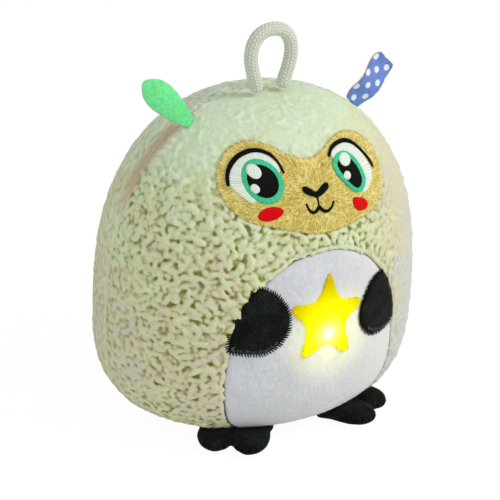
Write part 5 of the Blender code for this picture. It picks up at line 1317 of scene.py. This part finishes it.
def braided(name):
    """A tube from a grid, its surface raised in a herringbone of crossing strands."""
    mesh = new_mesh(name, bmesh.ops.create_grid, x_segments=420, y_segments=72, size=0.5)
    grid = read_points(mesh)
    u, turn = grid[:, 0] + 0.5, (grid[:, 1] + 0.5) * 2.0 * math.pi
    way = np.concatenate([[0.0], np.cumsum(np.linalg.norm(np.diff(rope_path, axis=0), axis=1))])
    total = way[-1]

    def on_path(shift):
        reached = np.clip(u * total + shift, 0.0, total)
        return np.stack([np.interp(reached, way, rope_path[:, axis]) for axis in range(3)], 1)

    middle = on_path(0.0)
    ahead = on_path(0.0005) - on_path(-0.0005)
    ahead /= np.linalg.norm(ahead, axis=1, keepdims=True)
    rear = np.array([0.0, 1.0, 0.0])
    out = np.cos(turn)[:, None] * np.cross(ahead, rear) + np.sin(turn)[:, None] * rear
    # Twelve columns of strands, slanted by turns one way and the other, 1.9 mm apart along the rope
    column = turn / (2.0 * math.pi) * 12.0
    within = column - np.floor(column)
    slant = np.where(np.floor(column) % 2 < 0.5, 1.0, -1.0)
    phase = u * total / (1.9 * MM) + slant * (within - 0.5) * 0.62 + 0.25 * (1.0 - slant)
    plait = np.abs(np.sin(math.pi * phase)) ** 0.55 * (0.35 + 0.65 * np.sin(math.pi * within) ** 0.6)
    radius = ROPE_RADIUS - 0.00050 + 0.00060 * plait
    ends = np.minimum(u, 1.0 - u) * total
    radius = radius * np.sqrt(np.clip(1.0 - (1.0 - np.clip(ends / 0.0030, 0.0, 1.0)) ** 2, 0.02, 1.0))
    write_points(mesh, middle + out * radius[:, None])
    put_attribute(mesh, "pile", plait)
    work = open_mesh(mesh)
    bmesh.ops.remove_doubles(work, verts=work.verts, dist=0.00001)
    bmesh.ops.holes_fill(work, edges=[edge for edge in work.edges if edge.is_boundary], sides=0)
    bmesh.ops.recalc_face_normals(work, faces=work.faces)
    close_mesh(work, mesh)
    flipped_if_needed(mesh)
    return mesh, total


rope_mesh, rope_length = braided("hanging_loop_braid")
rope = finish_mesh(rope_mesh, "hanging_loop_braid", ROPE, "loop", ("hanging_loop",))


# Soft pieces inside: filling, pouch and closing tapes

def soft_copy(node, name, material, body, voxel, amount, size):
    """A finer copy of a plain soft solid with a cloth surface."""
    work = open_mesh(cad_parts[node].data)
    bmesh.ops.remove_doubles(work, verts=work.verts, dist=0.00001)
    mesh = bpy.data.meshes.new(name)
    close_mesh(work, mesh)
    fine = fused(mesh, voxel, 0)
    points, normals = read_points(fine), read_normals(fine)
    lift = soft_noise(points, size, 9.0) * amount - amount
    write_points(fine, points + normals * lift[:, None])
    return finish_mesh(fine, name, material, body, (node,))


FILLING = plush("polyester_filling_wool", "C9C9C2", "E8E8E2", "F6F6F2", 1.5 * MM, 12.0 * MM, 0.6 * MM)[0]
POUCH = plush("pouch_nonwoven_cloth", "A8A89C", "C8C8BC", "D8D8CE", 0.7 * MM, 8.0 * MM, 0.15 * MM,
              sheen=0.1)[0]
HOOKS = plush("closure_tape_nylon", "9A9A90", "CFCFC6", "E6E6DE", 0.6 * MM, 6.0 * MM, 0.4 * MM, sheen=0.2)[0]
# Node, name of the piece, material, slot, body, then in millimetres its fineness and the depth and
# width of its bumps, and how full it is
SOFT_INSIDE = [
    ("stuffing", "filling_fluff", FILLING, "polyester_filling", "body", 1.6, 0.25, 4.0, 0.9),
    ("battery_pouch", "battery_pouch_cloth", POUCH, "pouch_cloth", "body", 0.5, 0.03, 3.0, 0.1),
    ("closure_hook_tape", "closure_hook_tape_nylon", HOOKS, "tape_cloth", "body", 0.35, 0.03, 0.8, 0.1),
    ("closure_loop_tape", "closure_loop_tape_nylon", HOOKS, "tape_cloth", "flap", 0.35, 0.03, 0.8, 0.1)]
for node, name, material, slot, body, voxel, amount, size, fill in SOFT_INSIDE:
    inside = soft_copy(node, name, material, body, voxel * MM, amount * MM, size * MM)


# Hard pieces keep their solids and get their finish

FINISHES = [
    (moulded("white_abs_moulded", "E4E4DF", 0.42, 0.03 * MM),
     ("light_housing", "battery_tray", "battery_lid", "light_button", "switch_plunger")),
    (moulded("clear_polycarbonate_frosted", "F2F2EA", 0.30, 0.02 * MM, Transmission_Weight=0.85, IOR=1.58),
     ("light_cover",)),
    (moulded("warm_diode_epoxy", "F6F0C0", 0.12, 0.0, Transmission_Weight=0.5, IOR=1.53),
     ("light_diode_1", "light_diode_2", "light_diode_3")),
    (moulded("black_nylon_moulded", "1A1A1A", 0.45, 0.03 * MM), ("switch_body",)),
    (moulded("green_solder_mask_board", "1F6B3C", 0.35, 0.01 * MM), ("light_board",)),
    (moulded("printed_cell_sleeve", "3A3F46", 0.32, 0.0, Coat_Weight=0.3),
     ("battery_cell_1", "battery_cell_2", "battery_cell_3")),
    (moulded("pvc_lead_insulation", "2A2A2C", 0.50, 0.02 * MM), ("lead",)),
    (plated("nickel_plated_steel", "C9CACC", 0.25),
     ("light_screw_left", "light_screw_right", "battery_lid_screw", "battery_spring_1", "battery_spring_2",
      "battery_spring_3", "contact_bridge_high", "contact_bridge_low", "contact_end_high",
      "contact_end_low"))]
for material, names in FINISHES:
    for name in names:
        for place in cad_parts[name].material_slots:
            place.material = material


# Floor, light and camera

def studio_floor():
    """White seamless paper: it shows white to the camera and keeps the soft shadow under the body."""
    mesh = new_mesh("studio_floor", bmesh.ops.create_grid, x_segments=1, y_segments=1, size=3.0)
    material, tree, shader, place = start_material("white_studio_paper", Roughness=0.9)
    grain = add(tree, "TexNoise", {"Vector": place, "Scale": 40.0})
    paper = add(tree, "MapRange", {"Value": grain.outputs["Fac"], "To Min": 0.86, "To Max": 0.88})
    diffuse = add(tree, "BsdfDiffuse", {"Color": paper.outputs[0]})
    white = add(tree, "Emission", {"Color": (1.0, 1.0, 1.0, 1.0), "Strength": 1.03})
    path = add(tree, "LightPath")
    seen = add(tree, "Math", {0: path.outputs["Is Camera Ray"], 1: 0.93}, operation="MULTIPLY")
    both = add(tree, "MixShader", {0: seen.outputs[0], 1: diffuse.outputs[0], 2: white.outputs[0]})
    tree.links.new(both.outputs[0], tree.nodes["Material Output"].inputs["Surface"])
    floor = bpy.data.objects.new("studio_floor", mesh)
    mesh.materials.append(material)
    bpy.context.scene.collection.objects.link(floor)


studio_floor()
world = bpy.data.worlds.new("studio")
bpy.context.scene.world = world
world.use_nodes = True
tree = world.node_tree
sky = tree.nodes["Background"]
path = add(tree, "LightPath")
seen = add(tree, "Math", {0: path.outputs["Is Camera Ray"], 1: path.outputs["Is Glossy Ray"]},
           operation="MAXIMUM")
seen = add(tree, "Math", {0: seen.outputs[0], 1: path.outputs["Is Transmission Ray"]}, operation="MAXIMUM")
strength = add(tree, "MapRange", {"Value": seen.outputs[0], "To Min": 0.62, "To Max": 1.0})
sky.inputs["Color"].default_value = (1.0, 1.0, 1.0, 1.0)
tree.links.new(strength.outputs[0], sky.inputs["Strength"])


def area_light(name, place, target, size, power, colour="FFFFFF"):
    lamp = bpy.data.lights.new(name, "AREA")
    lamp.size = size
    lamp.energy = power
    lamp.color = linear(colour)[:3]
    made = bpy.data.objects.new(name, lamp)
    bpy.context.scene.collection.objects.link(made)
    made.location = place
    made.rotation_euler = (Vector(target) - Vector(place)).to_track_quat("-Z", "Y").to_euler()


area_light("key", (0.75, -0.70, 0.95), (0.0, 0.0, 0.09), 0.45, 9.0, "FFFDF8")
area_light("fill", (-0.9, -0.6, 0.35), (0.0, 0.0, 0.08), 0.9, 2.0)

CAMERA_AWAY = 1.090
CAMERA_TARGET = Vector((0.0, 0.0, 0.090))
azimuth, elevation = math.radians(-31.6), math.radians(25.2)
back = Vector((math.sin(azimuth) * math.cos(elevation), -math.cos(azimuth) * math.cos(elevation),
               math.sin(elevation)))
right = Vector((math.cos(azimuth), math.sin(azimuth), 0.0))
up = back.cross(right)
lens = bpy.data.cameras.new("camera")
lens.sensor_width = 36.0
lens.lens = 143.3
lens.shift_x = -0.011
lens.shift_y = -0.0116
lens.clip_start = 0.01
camera = bpy.data.objects.new("camera", lens)
bpy.context.scene.collection.objects.link(camera)
turned = Matrix((right, up, back)).transposed().to_4x4() @ Matrix.Rotation(math.radians(2.6), 4, "Z")
camera.matrix_world = Matrix.Translation(CAMERA_TARGET + back * CAMERA_AWAY) @ turned
bpy.context.scene.camera = camera
bpy.context.scene.view_settings.view_transform = "Standard"
